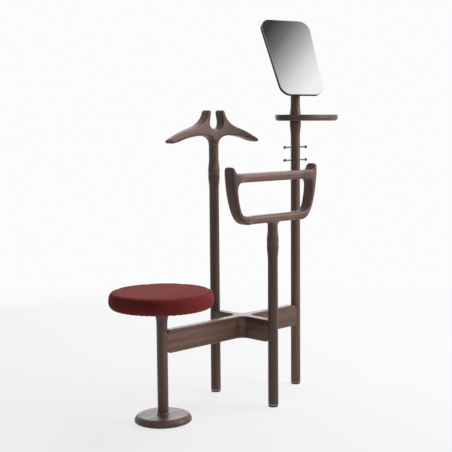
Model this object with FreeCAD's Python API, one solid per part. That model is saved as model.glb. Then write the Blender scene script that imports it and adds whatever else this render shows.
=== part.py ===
import FreeCAD, Part
import math
import os

Vector = FreeCAD.Vector

# Valet stand: four turned posts on a cross of two beams carry a round seat, a coat hanger,
# a trouser rack and a small mirror with a tray. Millimetres, +Z up, floor at z = 0,
# origin under the seat post, +X along the long beam, +Y along the short beam.

# ---------------------------------------------------------------- driving sizes
# Plan: distances between post axes
SEAT_TO_CROSSING = 394.0
CROSSING_TO_MIRROR = 297.0
CROSSING_TO_HANGER = 149.0
CROSSING_TO_RACK = 158.5

# Turned posts
POST_FOOT_DIA = 38.0
POST_NECK_DIA = 36.6
POST_BASE_ROUND = 1.0
BULGE_DIA = 44.0
BULGE_CROWN = 10.0
BULGE_REACH = 57.0
BULGE_STEPS = 7
HANGER_JOINT_Z = 848.0
RACK_JOINT_Z = 603.0
TRAY_UNDERSIDE_Z = 1046.0

# Swivels
WASHER_THICKNESS = 1.2
WASHER_DIA = 42.6
PIN_DIA = 12.0
PIN_GRIP = 42.0
BUSH_DIA = 16.0
BUSH_LENGTH = 46.0

# Clearances
RUNNING_GAP = 0.05
GLUE_GAP = 0.1
SOFT_GAP = 0.3
SHOULDER_GAP = 0.1
BEAM_MARGIN = 10.0
HOLE_RUNOUT = 3.0
LEVEL_WITHIN = 0.1
THIN_WITHIN = 0.01
BEYOND_PIECES = 1000.0

# Cross of beams
BEAM_BOTTOM_Z = 240.0
BEAM_HEIGHT = 83.0
BEAM_WIDTH = 32.0
BEAM_EDGE_ROUND = 4.0
BEAM_END_CORNER = 20.0
BEAM_END_OVERLAP = 10.0
WEB_FILLET = 30.0
TENON_THICKNESS = 12.0
TENON_HEIGHT = 50.0
TENON_IN_POST = 14.0
TENON_IN_BEAM = 24.0

# Disc foot
DISC_DIA = 200.0
DISC_HEIGHT = 24.0
DISC_TOP_DIA = 166.0
DISC_SIDE_HEIGHT = 5.0
DISC_LOWER_EDGE = 3.0
PAD_THICKNESS = 2.0
PAD_DIA = 184.0
COLLAR_WIDTH = 6.0
COLLAR_LAND = 1.0
SPIGOT_DIA = 24.0
SPIGOT_LENGTH = 14.0
FOOT_BOLT_DIA = 8.0
FOOT_BOLT_REACH = 46.0
FOOT_BOLT_HEAD_DIA = 13.0
FOOT_BOLT_HEAD_HEIGHT = 3.0
FOOT_WASHER_DIA = 18.0
FOOT_WASHER_THICKNESS = 1.5

# Glides under the three tall posts
GLIDE_DIA = 37.0
GLIDE_THICKNESS = 8.6
GLIDE_LOWER_ROUND = 3.0
GLIDE_STUD_DIA = 8.0
GLIDE_STUD_LENGTH = 24.0
GLIDE_RING_DIA = 37.4
GLIDE_RING_THICKNESS = 1.2

# Seat
SEAT_TOP_Z = 460.0
SEAT_DIA = 368.0
SEAT_THICKNESS = 55.0
SEAT_TOP_EDGE = 13.0
SEAT_BOTTOM_EDGE = 22.0
SEAT_WIDEST_HEIGHT = 26.0
SEAT_BOARD_DIA = 316.0
SEAT_BOARD_THICKNESS = 12.0
DUST_COVER_THICKNESS = 0.8
DUST_COVER_INSET = 4.0
PLATE_DIA = 124.0
PLATE_THICKNESS = 4.0
PLATE_SCREW_PCD = 98.0
PLATE_SCREW_DIA = 5.0
PLATE_SCREW_REACH = 9.0
PLATE_SCREW_HEAD_DIA = 9.0
PLATE_SCREW_HEAD_HEIGHT = 2.4
FLARE_DIA = 64.0
FLARE_RADIUS = 131.0
SEAT_BOLT_DIA = 8.0
SEAT_BOLT_HEAD_DIA = 15.0
SEAT_BOLT_REACH = 45.0

# Coat hanger head
HANGER_DEPTH = 42.0
HANGER_EDGE_ROUND = 3.0
HANGER_GLUE_LINE_Z = 954.0
HANGER_SLOT_Z = 1016.0
HANGER_STEM_DIA = 36.4
HANGER_HALF_SPAN = 226.0
SHOULDER_CURVE = ((0, 0), (1.2, 10), (4.5, 20), (11, 28), (26, 34))
SHOULDER_ROOM_DIA = 120.0

# Trouser rack
RACK_BULGE_DIA = 43.2
RACK_BLADE_DEPTH = 46.0
RACK_EDGE_ROUND = 3.0
RACK_HORN_ROUND = 14.0
RACK_HALF_SPAN = 219.5
RACK_BOTTOM_Z = 683.5
RACK_BOTTOM_BAR_HEIGHT = 30.0
RACK_BOTTOM_BAR_DEPTH = 36.4
RACK_TOP_BAR_Z = 832.5
RACK_TOP_BAR_HEIGHT = 32.0
RACK_TOP_BAR_DEPTH = 32.0
RACK_BAR_ROUND = 10.0
RACK_BAR_FLARE = 32.0
RACK_TOP_Z = 889.0
RACK_STEM_FLARE = 10.0
RACK_BOTTOM_BAR_HALF = 142.0
RACK_TOP_BAR_HALF = 178.0

# Dowels
DOWEL_DIA = 8.0
DOWEL_LENGTH = 40.0
DOWEL_END_GAP = 1.0
STEM_DOWEL_OFFSET = 9.0
BAR_DOWEL_OFFSET = 7.0
SEAM_DOWEL_BELOW_SLOT = 10.0

# Pegs on the mirror post
PEG_HEIGHTS = (894.0, 944.0)
PEG_ROD_DIA = 6.0
PEG_BALL_DIA = 12.5
PEG_BALL_REACH = 60.7
PEG_THREAD_LENGTH = 5.0

# Tray
TRAY_THICKNESS = 24.0
TRAY_LONG_DIA = 300.0
TRAY_SHORT_DIA = 196.0
TRAY_OFFSET = 67.0
TRAY_LOWER_ROUND = 12.0
TRAY_TOP_ROUND = 2.0
TRAY_WELL_DEPTH = 11.0
TRAY_WELL_OFFSET = 115.0
TRAY_WELL_LONG_DIA = 176.0
TRAY_WELL_SHORT_DIA = 152.0
TRAY_WELL_ROUND = 8.0

# Mirror and its tilt joint
MIRROR_STEM_TOP_Z = 1188.0
MIRROR_STEM_TAPER_Z = 1158.0
MIRROR_STEM_TOP_DIA = 26.0
MIRROR_PIVOT_Z = 1210.0
MIRROR_TURN_DEG = -15.0
MIRROR_LEAN_DEG = 26.0
MIRROR_FACE_FROM_PIVOT = 28.0
MIRROR_CENTRE_ABOVE_PIVOT = 78.0
MIRROR_TOP_WIDTH = 228.0
MIRROR_BOTTOM_WIDTH = 191.0
MIRROR_HEIGHT = 325.0
MIRROR_CORNER = 42.0
GLASS_THICKNESS = 5.0
GLASS_BEVEL = 1.5
BACK_BOARD_THICKNESS = 8.0
BACK_BOARD_INSET = 0.6
BRACKET_THICKNESS = 3.0
BRACKET_WIDTH = 70.0
BRACKET_HEIGHT = 60.0
EAR_THICKNESS = 3.0
EAR_RADIUS = 8.5
KNUCKLE_THICKNESS = 10.0
KNUCKLE_RADIUS = 8.5
KNUCKLE_FLANGE_DIA = 22.0
KNUCKLE_FLANGE_HEIGHT = 3.0
KNUCKLE_STUD_DIA = 10.0
KNUCKLE_STUD_LENGTH = 26.0
TILT_WASHER_THICKNESS = 1.0
TILT_WASHER_DIA = 14.0
TILT_PIN_DIA = 6.0
TILT_HEAD_DIA = 13.0
TILT_HEAD_LENGTH = 4.0
BRACKET_SCREW_DIA = 3.5
BRACKET_SCREW_HEAD_DIA = 7.0
BRACKET_SCREW_HEAD_HEIGHT = 1.8
BRACKET_SCREW_REACH = 6.5
BRACKET_SCREW_INSET = 10.0

# ---------------------------------------------------------------- derived places
SEAT_X = 0.0
CROSSING_X = SEAT_X + SEAT_TO_CROSSING
MIRROR_X = CROSSING_X + CROSSING_TO_MIRROR
HANGER_Y = CROSSING_TO_HANGER
RACK_Y = -CROSSING_TO_RACK
SEAT_AXIS = Vector(SEAT_X, 0, 0)
HANGER_AXIS = Vector(CROSSING_X, HANGER_Y, 0)
RACK_AXIS = Vector(CROSSING_X, RACK_Y, 0)
MIRROR_AXIS = Vector(MIRROR_X, 0, 0)
POST_BASE_Z = GLIDE_THICKNESS + GLIDE_RING_THICKNESS
BEAM_TOP_Z = BEAM_BOTTOM_Z + BEAM_HEIGHT
BEAM_MIDDLE_Z = BEAM_BOTTOM_Z + BEAM_HEIGHT / 2
HUB_HALF = BEAM_WIDTH / 2 + WEB_FILLET
DISC_TOP_Z = PAD_THICKNESS + DISC_HEIGHT
SEAT_BOTTOM_Z = SEAT_TOP_Z - SEAT_THICKNESS
SEAT_POST_TOP_Z = SEAT_BOTTOM_Z - PLATE_THICKNESS
FLARE_INSET = FLARE_RADIUS - FLARE_DIA / 2 + POST_FOOT_DIA / 2
FLARE_START_Z = SEAT_POST_TOP_Z - math.sqrt(FLARE_RADIUS ** 2 - FLARE_INSET ** 2)
TRAY_TOP_Z = TRAY_UNDERSIDE_Z + TRAY_THICKNESS
MIRROR_STEM_BASE_Z = TRAY_TOP_Z + WASHER_THICKNESS
PIN_HOLE = PIN_DIA / 2 + GLUE_GAP
MIRROR_PIVOT = Vector(MIRROR_X, 0, MIRROR_PIVOT_Z)
RACK_STEM_TOP_Z = RACK_BOTTOM_Z - RACK_STEM_FLARE

os.makedirs("parts", exist_ok=True)


# ---------------------------------------------------------------- helpers
def save(name, *solids):
    """Write one node: a single solid, or a group of separate solids."""
    shape = solids[0] if len(solids) == 1 else Part.makeCompound(list(solids))
    shape.exportStep("parts/" + name + ".step")
    print(name, len(solids), round(sum(s.Volume for s in solids)))


def rod(dia, start, length, axis=Vector(0, 0, 1)):
    """A round bar of the given diameter from a start point along an axis."""
    return Part.makeCylinder(dia / 2, length, start, axis)


def block(low, high):
    """A box between its lowest and highest corners."""
    size = high - low
    return Part.makeBox(size.x, size.y, size.z, low)


def profile_point(radius, height):
    return Vector(radius, 0, height)


def line(*points):
    """Straight edges through (radius, height) points."""
    corners = [profile_point(*p) for p in points]
    return [Part.LineSegment(a, b).toShape() for a, b in zip(corners, corners[1:])]


def bend(start, middle, end):
    """An arc through three (radius, height) points."""
    return [Part.Arc(profile_point(*start), profile_point(*middle), profile_point(*end)).toShape()]


def shoulder(start, end, upright_end=True):
    """A circular arc between two (radius, height) points that runs straight up at one of them."""
    side, other = (end, start) if upright_end else (start, end)
    out = side[0] - other[0]
    rise = other[1] - side[1]
    radius = (out ** 2 + rise ** 2) / (2 * out)
    half_turn = math.atan2(rise, radius - out) / 2
    middle = (side[0] - radius + radius * math.cos(half_turn), side[1] + radius * math.sin(half_turn))
    return bend(start, middle, end)


def sweep_curve(points):
    """A smooth curve through (radius, height) points."""
    curve = Part.BSplineCurve()
    curve.interpolate([profile_point(*p) for p in points])
    return [curve.toShape()]


def turned(edges, axis_point=Vector(0, 0, 0)):
    """Turn a profile, given from the axis at its foot to the axis at its top, about Z."""
    foot = edges[0].Vertexes[0].Point
    top = edges[-1].Vertexes[-1].Point
    wire = Part.Wire(edges + [Part.LineSegment(top, foot).toShape()])
    solid = Part.Face(wire).revolve(Vector(0, 0, 0), Vector(0, 0, 1), 360)
    solid.translate(axis_point)
    return solid


def bulge_curve(joint_z, neck_dia, crown_dia, side):
    """Half of a bulge: from its crown beside the joint line to the neck, side +1 up or -1 down."""
    reach = BULGE_REACH - BULGE_CROWN
    points = []
    for step in range(BULGE_STEPS + 1):
        share = step / BULGE_STEPS
        swell = (crown_dia - neck_dia) / 4 * (1 + math.cos(math.pi * share))
        points.append((neck_dia / 2 + swell, joint_z + side * (BULGE_CROWN + reach * share)))
    return points


def rounded(solid, select, radius):
    """Round the edges of a solid that the selecting function accepts."""
    return solid.makeFillet(radius, [edge for edge in solid.Edges if select(edge)])


# ---------------------------------------------------------------- swivels
def swivel(axis, bush_top_z, pin_top_z, joint_zs):
    """Bush in the lower post, pin up into the upper stem, and a thin washer at each joint line."""
    bush = rod(BUSH_DIA, axis + Vector(0, 0, bush_top_z - BUSH_LENGTH), BUSH_LENGTH)
    bush = bush.cut(rod(PIN_DIA + 2 * RUNNING_GAP, axis + Vector(0, 0, bush_top_z - BUSH_LENGTH),
                        BUSH_LENGTH))
    pin_foot_z = bush_top_z - BUSH_LENGTH + DOWEL_END_GAP
    pin = rod(PIN_DIA, axis + Vector(0, 0, pin_foot_z), pin_top_z - pin_foot_z)
    pin = pin.makeChamfer(1.0, [edge for edge in pin.Edges if edge.Curve.TypeId == "Part::GeomCircle"])
    washers = []
    for z in joint_zs:
        ring = rod(WASHER_DIA, axis + Vector(0, 0, z), WASHER_THICKNESS)
        washers.append(ring.cut(rod(PIN_DIA + 1.0, axis + Vector(0, 0, z), WASHER_THICKNESS)))
    return bush, pin, washers


def bush_hole(axis, top_z):
    """Room for a bush, with a little run-out below it."""
    depth = BUSH_LENGTH + HOLE_RUNOUT
    return rod(BUSH_DIA + 2 * GLUE_GAP, axis + Vector(0, 0, top_z - depth), depth)


# ---------------------------------------------------------------- posts
def tall_post(axis, joint_z, crown_dia):
    """A tapering post from its glide up to the joint line, with the lower half of the bulge."""
    foot = POST_FOOT_DIA / 2
    top_z = joint_z - WASHER_THICKNESS / 2
    lower = bulge_curve(joint_z, POST_NECK_DIA, crown_dia, -1)[::-1]
    edges = line((0, POST_BASE_Z), (foot - POST_BASE_ROUND, POST_BASE_Z))
    corner = POST_BASE_ROUND * (1 - math.sqrt(0.5))
    edges += bend((foot - POST_BASE_ROUND, POST_BASE_Z),
                  (foot - corner, POST_BASE_Z + corner),
                  (foot, POST_BASE_Z + POST_BASE_ROUND))
    edges += line((foot, POST_BASE_Z + POST_BASE_ROUND), lower[0])
    edges += sweep_curve(lower)
    edges += line(lower[-1], (WASHER_DIA / 2, top_z), (0, top_z))
    post = turned(edges, axis)
    stud_hole = rod(GLIDE_STUD_DIA + 2 * GLUE_GAP, axis + Vector(0, 0, POST_BASE_Z),
                    GLIDE_STUD_LENGTH + HOLE_RUNOUT)
    return post.cut(bush_hole(axis, top_z)).cut(stud_hole)


def glide(axis):
    """A turned foot with a soft lower edge and a stud up into the post."""
    foot = rod(GLIDE_DIA, axis, GLIDE_THICKNESS)
    foot = rounded(foot, lambda edge: edge.BoundBox.ZMax < GLIDE_LOWER_ROUND, GLIDE_LOWER_ROUND)
    stud = rod(GLIDE_STUD_DIA, axis + Vector(0, 0, GLIDE_THICKNESS), GLIDE_STUD_LENGTH)
    return foot.fuse(stud).removeSplitter()


def glide_ring(axis):
    """The thin metal ring between a glide and its post."""
    base = axis + Vector(0, 0, GLIDE_THICKNESS)
    ring = rod(GLIDE_RING_DIA, base, GLIDE_RING_THICKNESS)
    return ring.cut(rod(GLIDE_STUD_DIA + 2 * GLUE_GAP, base, GLIDE_RING_THICKNESS))


def tenon(axis, direction, gap=0.0):
    """A loose tenon lying across the joint of a post and a beam; direction points into the beam."""
    radius = POST_FOOT_DIA / 2
    start = radius - TENON_IN_POST - gap
    end = radius + TENON_IN_BEAM + gap
    half_width = TENON_THICKNESS / 2 + gap
    half_height = TENON_HEIGHT / 2 + gap
    across = Vector(-direction.y, direction.x, 0)
    low = axis + direction * start - across * half_width + Vector(0, 0, BEAM_MIDDLE_Z - half_height)
    solid = Part.makeBox(end - start, 2 * half_width, 2 * half_height)
    solid.rotate(Vector(0, 0, 0), Vector(0, 0, 1), math.degrees(math.atan2(direction.y, direction.x)))
    solid.translate(low)
    return solid


TENON_PLACES = (
    (SEAT_AXIS, Vector(1, 0, 0)),
    (MIRROR_AXIS, Vector(-1, 0, 0)),
    (HANGER_AXIS, Vector(0, -1, 0)),
    (RACK_AXIS, Vector(0, 1, 0)),
)


def seat_post():
    """Short post: spigot in the disc foot, a small collar on the disc, and a flared top."""
    radius = POST_FOOT_DIA / 2
    collar = radius + COLLAR_WIDTH
    spigot = SPIGOT_DIA / 2
    collar_z = DISC_TOP_Z + COLLAR_LAND
    edges = line((0, DISC_TOP_Z - SPIGOT_LENGTH), (spigot, DISC_TOP_Z - SPIGOT_LENGTH),
                 (spigot, DISC_TOP_Z), (collar, DISC_TOP_Z), (collar, collar_z))
    quarter = COLLAR_WIDTH * (1 - math.sqrt(0.5))
    edges += bend((collar, collar_z), (radius + quarter, collar_z + quarter), (radius,
                                                                               collar_z + COLLAR_WIDTH))
    edges += line((radius, collar_z + COLLAR_WIDTH), (radius, FLARE_START_Z))
    middle_z = (FLARE_START_Z + SEAT_POST_TOP_Z) / 2
    middle = radius + FLARE_RADIUS - math.sqrt(FLARE_RADIUS ** 2 - (middle_z - FLARE_START_Z) ** 2)
    edges += bend((radius, FLARE_START_Z), (middle, middle_z), (FLARE_DIA / 2, SEAT_POST_TOP_Z))
    edges += line((FLARE_DIA / 2, SEAT_POST_TOP_Z), (0, SEAT_POST_TOP_Z))
    post = turned(edges, SEAT_AXIS)
    foot_hole = rod(FOOT_BOLT_DIA + 2 * GLUE_GAP, SEAT_AXIS + Vector(0, 0, DISC_TOP_Z - SPIGOT_LENGTH),
                    FOOT_BOLT_REACH)
    top_hole_depth = SEAT_BOLT_REACH + HOLE_RUNOUT
    top_hole = rod(SEAT_BOLT_DIA + 2 * GLUE_GAP, SEAT_AXIS + Vector(0, 0, SEAT_POST_TOP_Z - top_hole_depth),
                   top_hole_depth)
    return post.cut(foot_hole).cut(top_hole)


def disc_foot():
    """Round foot: flat top, rounded side, blind hole for the spigot and a countersunk bolt seat."""
    base = PAD_THICKNESS
    outer = DISC_DIA / 2
    top = DISC_TOP_DIA / 2
    side_z = base + DISC_SIDE_HEIGHT
    edges = line((0, base), (outer - DISC_LOWER_EDGE, base), (outer, base + DISC_LOWER_EDGE), (outer, side_z))
    edges += shoulder((outer, side_z), (top, DISC_TOP_Z), upright_end=False)
    edges += line((top, DISC_TOP_Z), (0, DISC_TOP_Z))
    disc = turned(edges, SEAT_AXIS)
    spigot_z = DISC_TOP_Z - SPIGOT_LENGTH - SHOULDER_GAP
    disc = disc.cut(rod(SPIGOT_DIA + 2 * GLUE_GAP, SEAT_AXIS + Vector(0, 0, spigot_z), DISC_HEIGHT))
    disc = disc.cut(rod(FOOT_BOLT_DIA + 2 * GLUE_GAP, SEAT_AXIS + Vector(0, 0, base), DISC_HEIGHT))
    seat_depth = FOOT_BOLT_HEAD_HEIGHT + FOOT_WASHER_THICKNESS + SOFT_GAP
    return disc.cut(rod(FOOT_WASHER_DIA + 1.0, SEAT_AXIS + Vector(0, 0, base), seat_depth))


def foot_fastening():
    """Bolt and washer under the disc foot, running up into the seat post."""
    head_z = PAD_THICKNESS + SOFT_GAP
    shank_z = head_z + FOOT_BOLT_HEAD_HEIGHT
    washer_z = shank_z
    bolt = rod(FOOT_BOLT_HEAD_DIA, SEAT_AXIS + Vector(0, 0, head_z), FOOT_BOLT_HEAD_HEIGHT)
    reach = DISC_TOP_Z - SPIGOT_LENGTH + FOOT_BOLT_REACH - HOLE_RUNOUT - shank_z
    bolt = bolt.fuse(rod(FOOT_BOLT_DIA, SEAT_AXIS + Vector(0, 0, shank_z), reach)).removeSplitter()
    washer = rod(FOOT_WASHER_DIA, SEAT_AXIS + Vector(0, 0, washer_z), FOOT_WASHER_THICKNESS)
    washer = washer.cut(rod(FOOT_BOLT_DIA + 2 * GLUE_GAP, SEAT_AXIS + Vector(0, 0, washer_z),
                            FOOT_WASHER_THICKNESS))
    return bolt, washer


# ---------------------------------------------------------------- cross of beams
def cross_blank():
    """Both beams as one shape: a plus in plan with round webs in its corners and softened edges."""
    half = BEAM_WIDTH / 2
    arm_ends = {"x": MIRROR_X - CROSSING_X, "-x": SEAT_TO_CROSSING, "y": CROSSING_TO_HANGER,
                "-y": CROSSING_TO_RACK}
    reach = WEB_FILLET * (1 - math.sqrt(0.5))

    def plan(x, y):
        return Vector(CROSSING_X + x, y, BEAM_BOTTOM_Z)

    def web(sx, sy, along_x_first):
        a = plan(sx * HUB_HALF, sy * half)
        m = plan(sx * (half + reach), sy * (half + reach))
        b = plan(sx * half, sy * HUB_HALF)
        return Part.Arc(a, m, b).toShape() if along_x_first else Part.Arc(b, m, a).toShape()

    def side(p, q):
        return Part.LineSegment(p, q).toShape()

    east, west = arm_ends["x"], -arm_ends["-x"]
    north, south = arm_ends["y"], -arm_ends["-y"]
    edges = [
        side(plan(east, -half), plan(east, half)),
        side(plan(east, half), plan(HUB_HALF, half)),
        web(1, 1, True),
        side(plan(half, HUB_HALF), plan(half, north)),
        side(plan(half, north), plan(-half, north)),
        side(plan(-half, north), plan(-half, HUB_HALF)),
        web(-1, 1, False),
        side(plan(-HUB_HALF, half), plan(west, half)),
        side(plan(west, half), plan(west, -half)),
        side(plan(west, -half), plan(-HUB_HALF, -half)),
        web(-1, -1, True),
        side(plan(-half, -HUB_HALF), plan(-half, south)),
        side(plan(-half, south), plan(half, south)),
        side(plan(half, south), plan(half, -HUB_HALF)),
        web(1, -1, False),
        side(plan(HUB_HALF, -half), plan(east, -half)),
    ]
    blank = Part.Face(Part.Wire(edges)).extrude(Vector(0, 0, BEAM_HEIGHT))
    ends = (CROSSING_X + east, CROSSING_X + west)

    def long_edge(edge):
        middle = edge.BoundBox.Center
        level = edge.BoundBox.ZLength < LEVEL_WITHIN
        at_end = any(abs(middle.x - x) < LEVEL_WITHIN for x in ends) or any(abs(middle.y - y) < LEVEL_WITHIN for y in (north, south))
        return level and not at_end

    return rounded(blank, long_edge, BEAM_EDGE_ROUND)


def end_corners(axis, direction):
    """What is cut off a beam's end above and below, so that it meets its post with round corners."""
    radius = BEAM_END_CORNER
    cuts = []
    for edge_z, inward in ((BEAM_TOP_Z, -1), (BEAM_BOTTOM_Z, 1)):
        centre = Vector(BEAM_END_OVERLAP + radius, 0, edge_z + inward * radius)
        outer_z = edge_z - inward * radius
        low_z, high_z = sorted((outer_z, centre.z))
        square = block(Vector(0, -BEAM_WIDTH, low_z), Vector(centre.x, BEAM_WIDTH, high_z))
        corner = square.cut(rod(2 * radius, centre - Vector(0, BEAM_WIDTH, 0), 2 * BEAM_WIDTH, Vector(0, 1,
                                                                                                      0)))
        corner.rotate(Vector(0, 0, 0), Vector(0, 0, 1), math.degrees(math.atan2(direction.y, direction.x)))
        corner.translate(axis)
        cuts.append(corner)
    return cuts


def beams(posts):
    """Split the cross at its lap: the long beam keeps the lower half of the hub, the short one the upper."""
    cross = cross_blank()
    for post in posts:
        cross = cross.cut(post)
    for axis, direction in TENON_PLACES:
        cross = cross.cut(tenon(axis, direction, GLUE_GAP))
        cross = cross.cut(end_corners(axis, direction))
    flare_room = rod(FLARE_DIA + 2 * SHOULDER_GAP, SEAT_AXIS + Vector(0, 0, FLARE_START_Z),
                     SEAT_POST_TOP_Z - FLARE_START_Z)
    cross = cross.cut(flare_room)
    upper_hub = block(Vector(CROSSING_X - HUB_HALF, -HUB_HALF, BEAM_MIDDLE_Z),
                      Vector(CROSSING_X + HUB_HALF, HUB_HALF, BEAM_TOP_Z))
    north_arm = block(Vector(CROSSING_X - HUB_HALF, HUB_HALF, BEAM_BOTTOM_Z),
                      Vector(CROSSING_X + HUB_HALF, BEYOND_PIECES, BEAM_TOP_Z))
    south_arm = block(Vector(CROSSING_X - HUB_HALF, -BEYOND_PIECES, BEAM_BOTTOM_Z),
                      Vector(CROSSING_X + HUB_HALF, -HUB_HALF, BEAM_TOP_Z))
    short_zone = upper_hub.fuse([north_arm, south_arm])
    long_beam = cross.cut(short_zone)
    short_beam = cross.common(short_zone)
    return long_beam, short_beam


def post_envelope(axis, low_dia, high_dia):
    """The space a tapering post takes where a beam meets it, with a hair of clearance."""
    low_z = BEAM_BOTTOM_Z - BEAM_MARGIN
    high_z = BEAM_TOP_Z + BEAM_MARGIN
    return turned(line((0, low_z), (low_dia / 2 + SHOULDER_GAP, low_z), (high_dia / 2 + SHOULDER_GAP, high_z),
                       (0, high_z)), axis)


def taper_dia(joint_z, z):
    """Diameter of a tall post at a height below its bulge."""
    low_z = POST_BASE_Z + POST_BASE_ROUND
    share = (z - low_z) / (joint_z - BULGE_REACH - low_z)
    return POST_FOOT_DIA + (POST_NECK_DIA - POST_FOOT_DIA) * share


# ---------------------------------------------------------------- seat
def cushion():
    """Round pad: flat top, soft upper edge, fuller lower edge, and a recess for its board."""
    outer = SEAT_DIA / 2
    widest_z = SEAT_BOTTOM_Z + SEAT_WIDEST_HEIGHT
    top_start = outer - SEAT_TOP_EDGE
    bottom_start = outer - SEAT_BOTTOM_EDGE
    recess_radius = SEAT_BOARD_DIA / 2 + SOFT_GAP
    recess_z = SEAT_BOTTOM_Z + SEAT_BOARD_THICKNESS + SOFT_GAP
    edges = line((0, recess_z), (recess_radius, recess_z), (recess_radius, SEAT_BOTTOM_Z),
                 (bottom_start, SEAT_BOTTOM_Z))
    edges += shoulder((bottom_start, SEAT_BOTTOM_Z), (outer, widest_z))
    edges += shoulder((outer, widest_z), (top_start, SEAT_TOP_Z), upright_end=False)
    edges += line((top_start, SEAT_TOP_Z), (0, SEAT_TOP_Z))
    return turned(edges, SEAT_AXIS)


def circle_of(count, pcd):
    """Points evenly spaced on a circle about the seat post."""
    for index in range(count):
        angle = math.radians(45 + 360 * index / count)
        yield SEAT_AXIS + Vector(pcd / 2 * math.cos(angle), pcd / 2 * math.sin(angle), 0)


def seat_parts():
    """Board, dust cover, steel plate, its screws and the bolt into the post."""
    board = rod(SEAT_BOARD_DIA, SEAT_AXIS + Vector(0, 0, SEAT_BOTTOM_Z), SEAT_BOARD_THICKNESS)
    plate = rod(PLATE_DIA, SEAT_AXIS + Vector(0, 0, SEAT_POST_TOP_Z), PLATE_THICKNESS)
    shank = SEAT_BOLT_DIA / 2
    head = SEAT_BOLT_HEAD_DIA / 2
    head_depth = head - shank
    bolt_top_z = SEAT_BOTTOM_Z - SOFT_GAP
    sink = Part.makeCone(shank + GLUE_GAP, head + GLUE_GAP + SOFT_GAP, head_depth + SOFT_GAP,
                         SEAT_AXIS + Vector(0, 0, bolt_top_z - head_depth))
    plate = plate.cut(sink).cut(rod(SEAT_BOLT_DIA + 2 * GLUE_GAP, SEAT_AXIS + Vector(0, 0, SEAT_POST_TOP_Z),
                                    PLATE_THICKNESS))
    bolt = Part.makeCone(shank, head, head_depth, SEAT_AXIS + Vector(0, 0, bolt_top_z - head_depth))
    shank_foot_z = SEAT_POST_TOP_Z - SEAT_BOLT_REACH
    bolt = bolt.fuse(rod(SEAT_BOLT_DIA, SEAT_AXIS + Vector(0, 0, shank_foot_z),
                         bolt_top_z - head_depth - shank_foot_z)).removeSplitter()
    screws = []
    for place in circle_of(4, PLATE_SCREW_PCD):
        hole = rod(PLATE_SCREW_DIA + 2 * GLUE_GAP, place + Vector(0, 0, SEAT_POST_TOP_Z),
                   PLATE_THICKNESS + PLATE_SCREW_REACH + DOWEL_END_GAP)
        plate = plate.cut(hole)
        board = board.cut(hole)
        screw = rod(PLATE_SCREW_DIA, place + Vector(0, 0, SEAT_POST_TOP_Z),
                    PLATE_THICKNESS + PLATE_SCREW_REACH)
        cap = rod(PLATE_SCREW_HEAD_DIA, place + Vector(0, 0, SEAT_POST_TOP_Z - PLATE_SCREW_HEAD_HEIGHT),
                  PLATE_SCREW_HEAD_HEIGHT)
        screws.append(screw.fuse(cap).removeSplitter())
    cover_z = SEAT_BOTTOM_Z - DUST_COVER_THICKNESS
    cover = rod(SEAT_BOARD_DIA - 2 * DUST_COVER_INSET, SEAT_AXIS + Vector(0, 0, cover_z),
                DUST_COVER_THICKNESS)
    cover = cover.cut(rod(PLATE_DIA + 2, SEAT_AXIS + Vector(0, 0, cover_z), DUST_COVER_THICKNESS))
    return board, cover, plate, bolt, screws


# ---------------------------------------------------------------- coat hanger
def hanger_outline():
    """Right half of the head in its own plane: (across, height) from the stem round to the slot."""
    stem = HANGER_STEM_DIA / 2
    tip = HANGER_HALF_SPAN
    underside = [(stem, HANGER_GLUE_LINE_Z), (19.5, 962), (22.5, 970.5), (27.5, 979), (36, 986.5), (50, 991),
                 (78, 992), (109, 989.5), (140, 984.5), (168, 977.5), (190, 970.5), (tip - 15, 966.2)]
    tip_round = [(tip - 3.5, 966.8), (tip, 972), (tip - 5, 978.2)]
    upper = [(208, 984.5), (186, 994.5), (155, 1007.5), (124, 1018), (102, 1025), (80, 1035), (62, 1048.5),
             (50, 1063)]
    prong_top = [(44, 1076), (41, 1083.5), (35, 1087.5), (29, 1084), (27.5, 1076)]
    slot = [(30.5, 1062), (33.5, 1047), (33.5, 1033), (26, 1021.5), (13, 1016.8), (0, HANGER_SLOT_Z)]
    return underside + tip_round + upper + prong_top + slot


def plane_curve(points, axis, mirror):
    """A smooth curve in the vertical plane through an axis; mirror -1 flips it left to right."""
    curve = Part.BSplineCurve()
    curve.interpolate([axis + Vector(mirror * x, 0, z) for x, z in points])
    return curve.toShape()


def hanger_half(side):
    """One carved half of the head: flat at the seam, its long edges softened, round at the stem."""
    slot_foot = HANGER_AXIS + Vector(0, 0, HANGER_SLOT_Z)
    seam_foot = HANGER_AXIS + Vector(0, 0, HANGER_GLUE_LINE_Z)
    stem_side = seam_foot + Vector(side * HANGER_STEM_DIA / 2, 0, 0)
    edges = [
        plane_curve(hanger_outline(), HANGER_AXIS, side),
        Part.LineSegment(slot_foot, seam_foot).toShape(),
        Part.LineSegment(seam_foot, stem_side).toShape(),
    ]
    face = Part.Face(Part.Wire(edges))
    face.translate(Vector(0, -HANGER_DEPTH / 2, 0))
    half = face.extrude(Vector(0, HANGER_DEPTH, 0))

    def long_edge(edge):
        box = edge.BoundBox
        return box.YLength < THIN_WITHIN and box.XLength > THIN_WITHIN and box.ZLength > THIN_WITHIN

    return rounded(half, long_edge, HANGER_EDGE_ROUND).cut(stem_shoulder())


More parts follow.
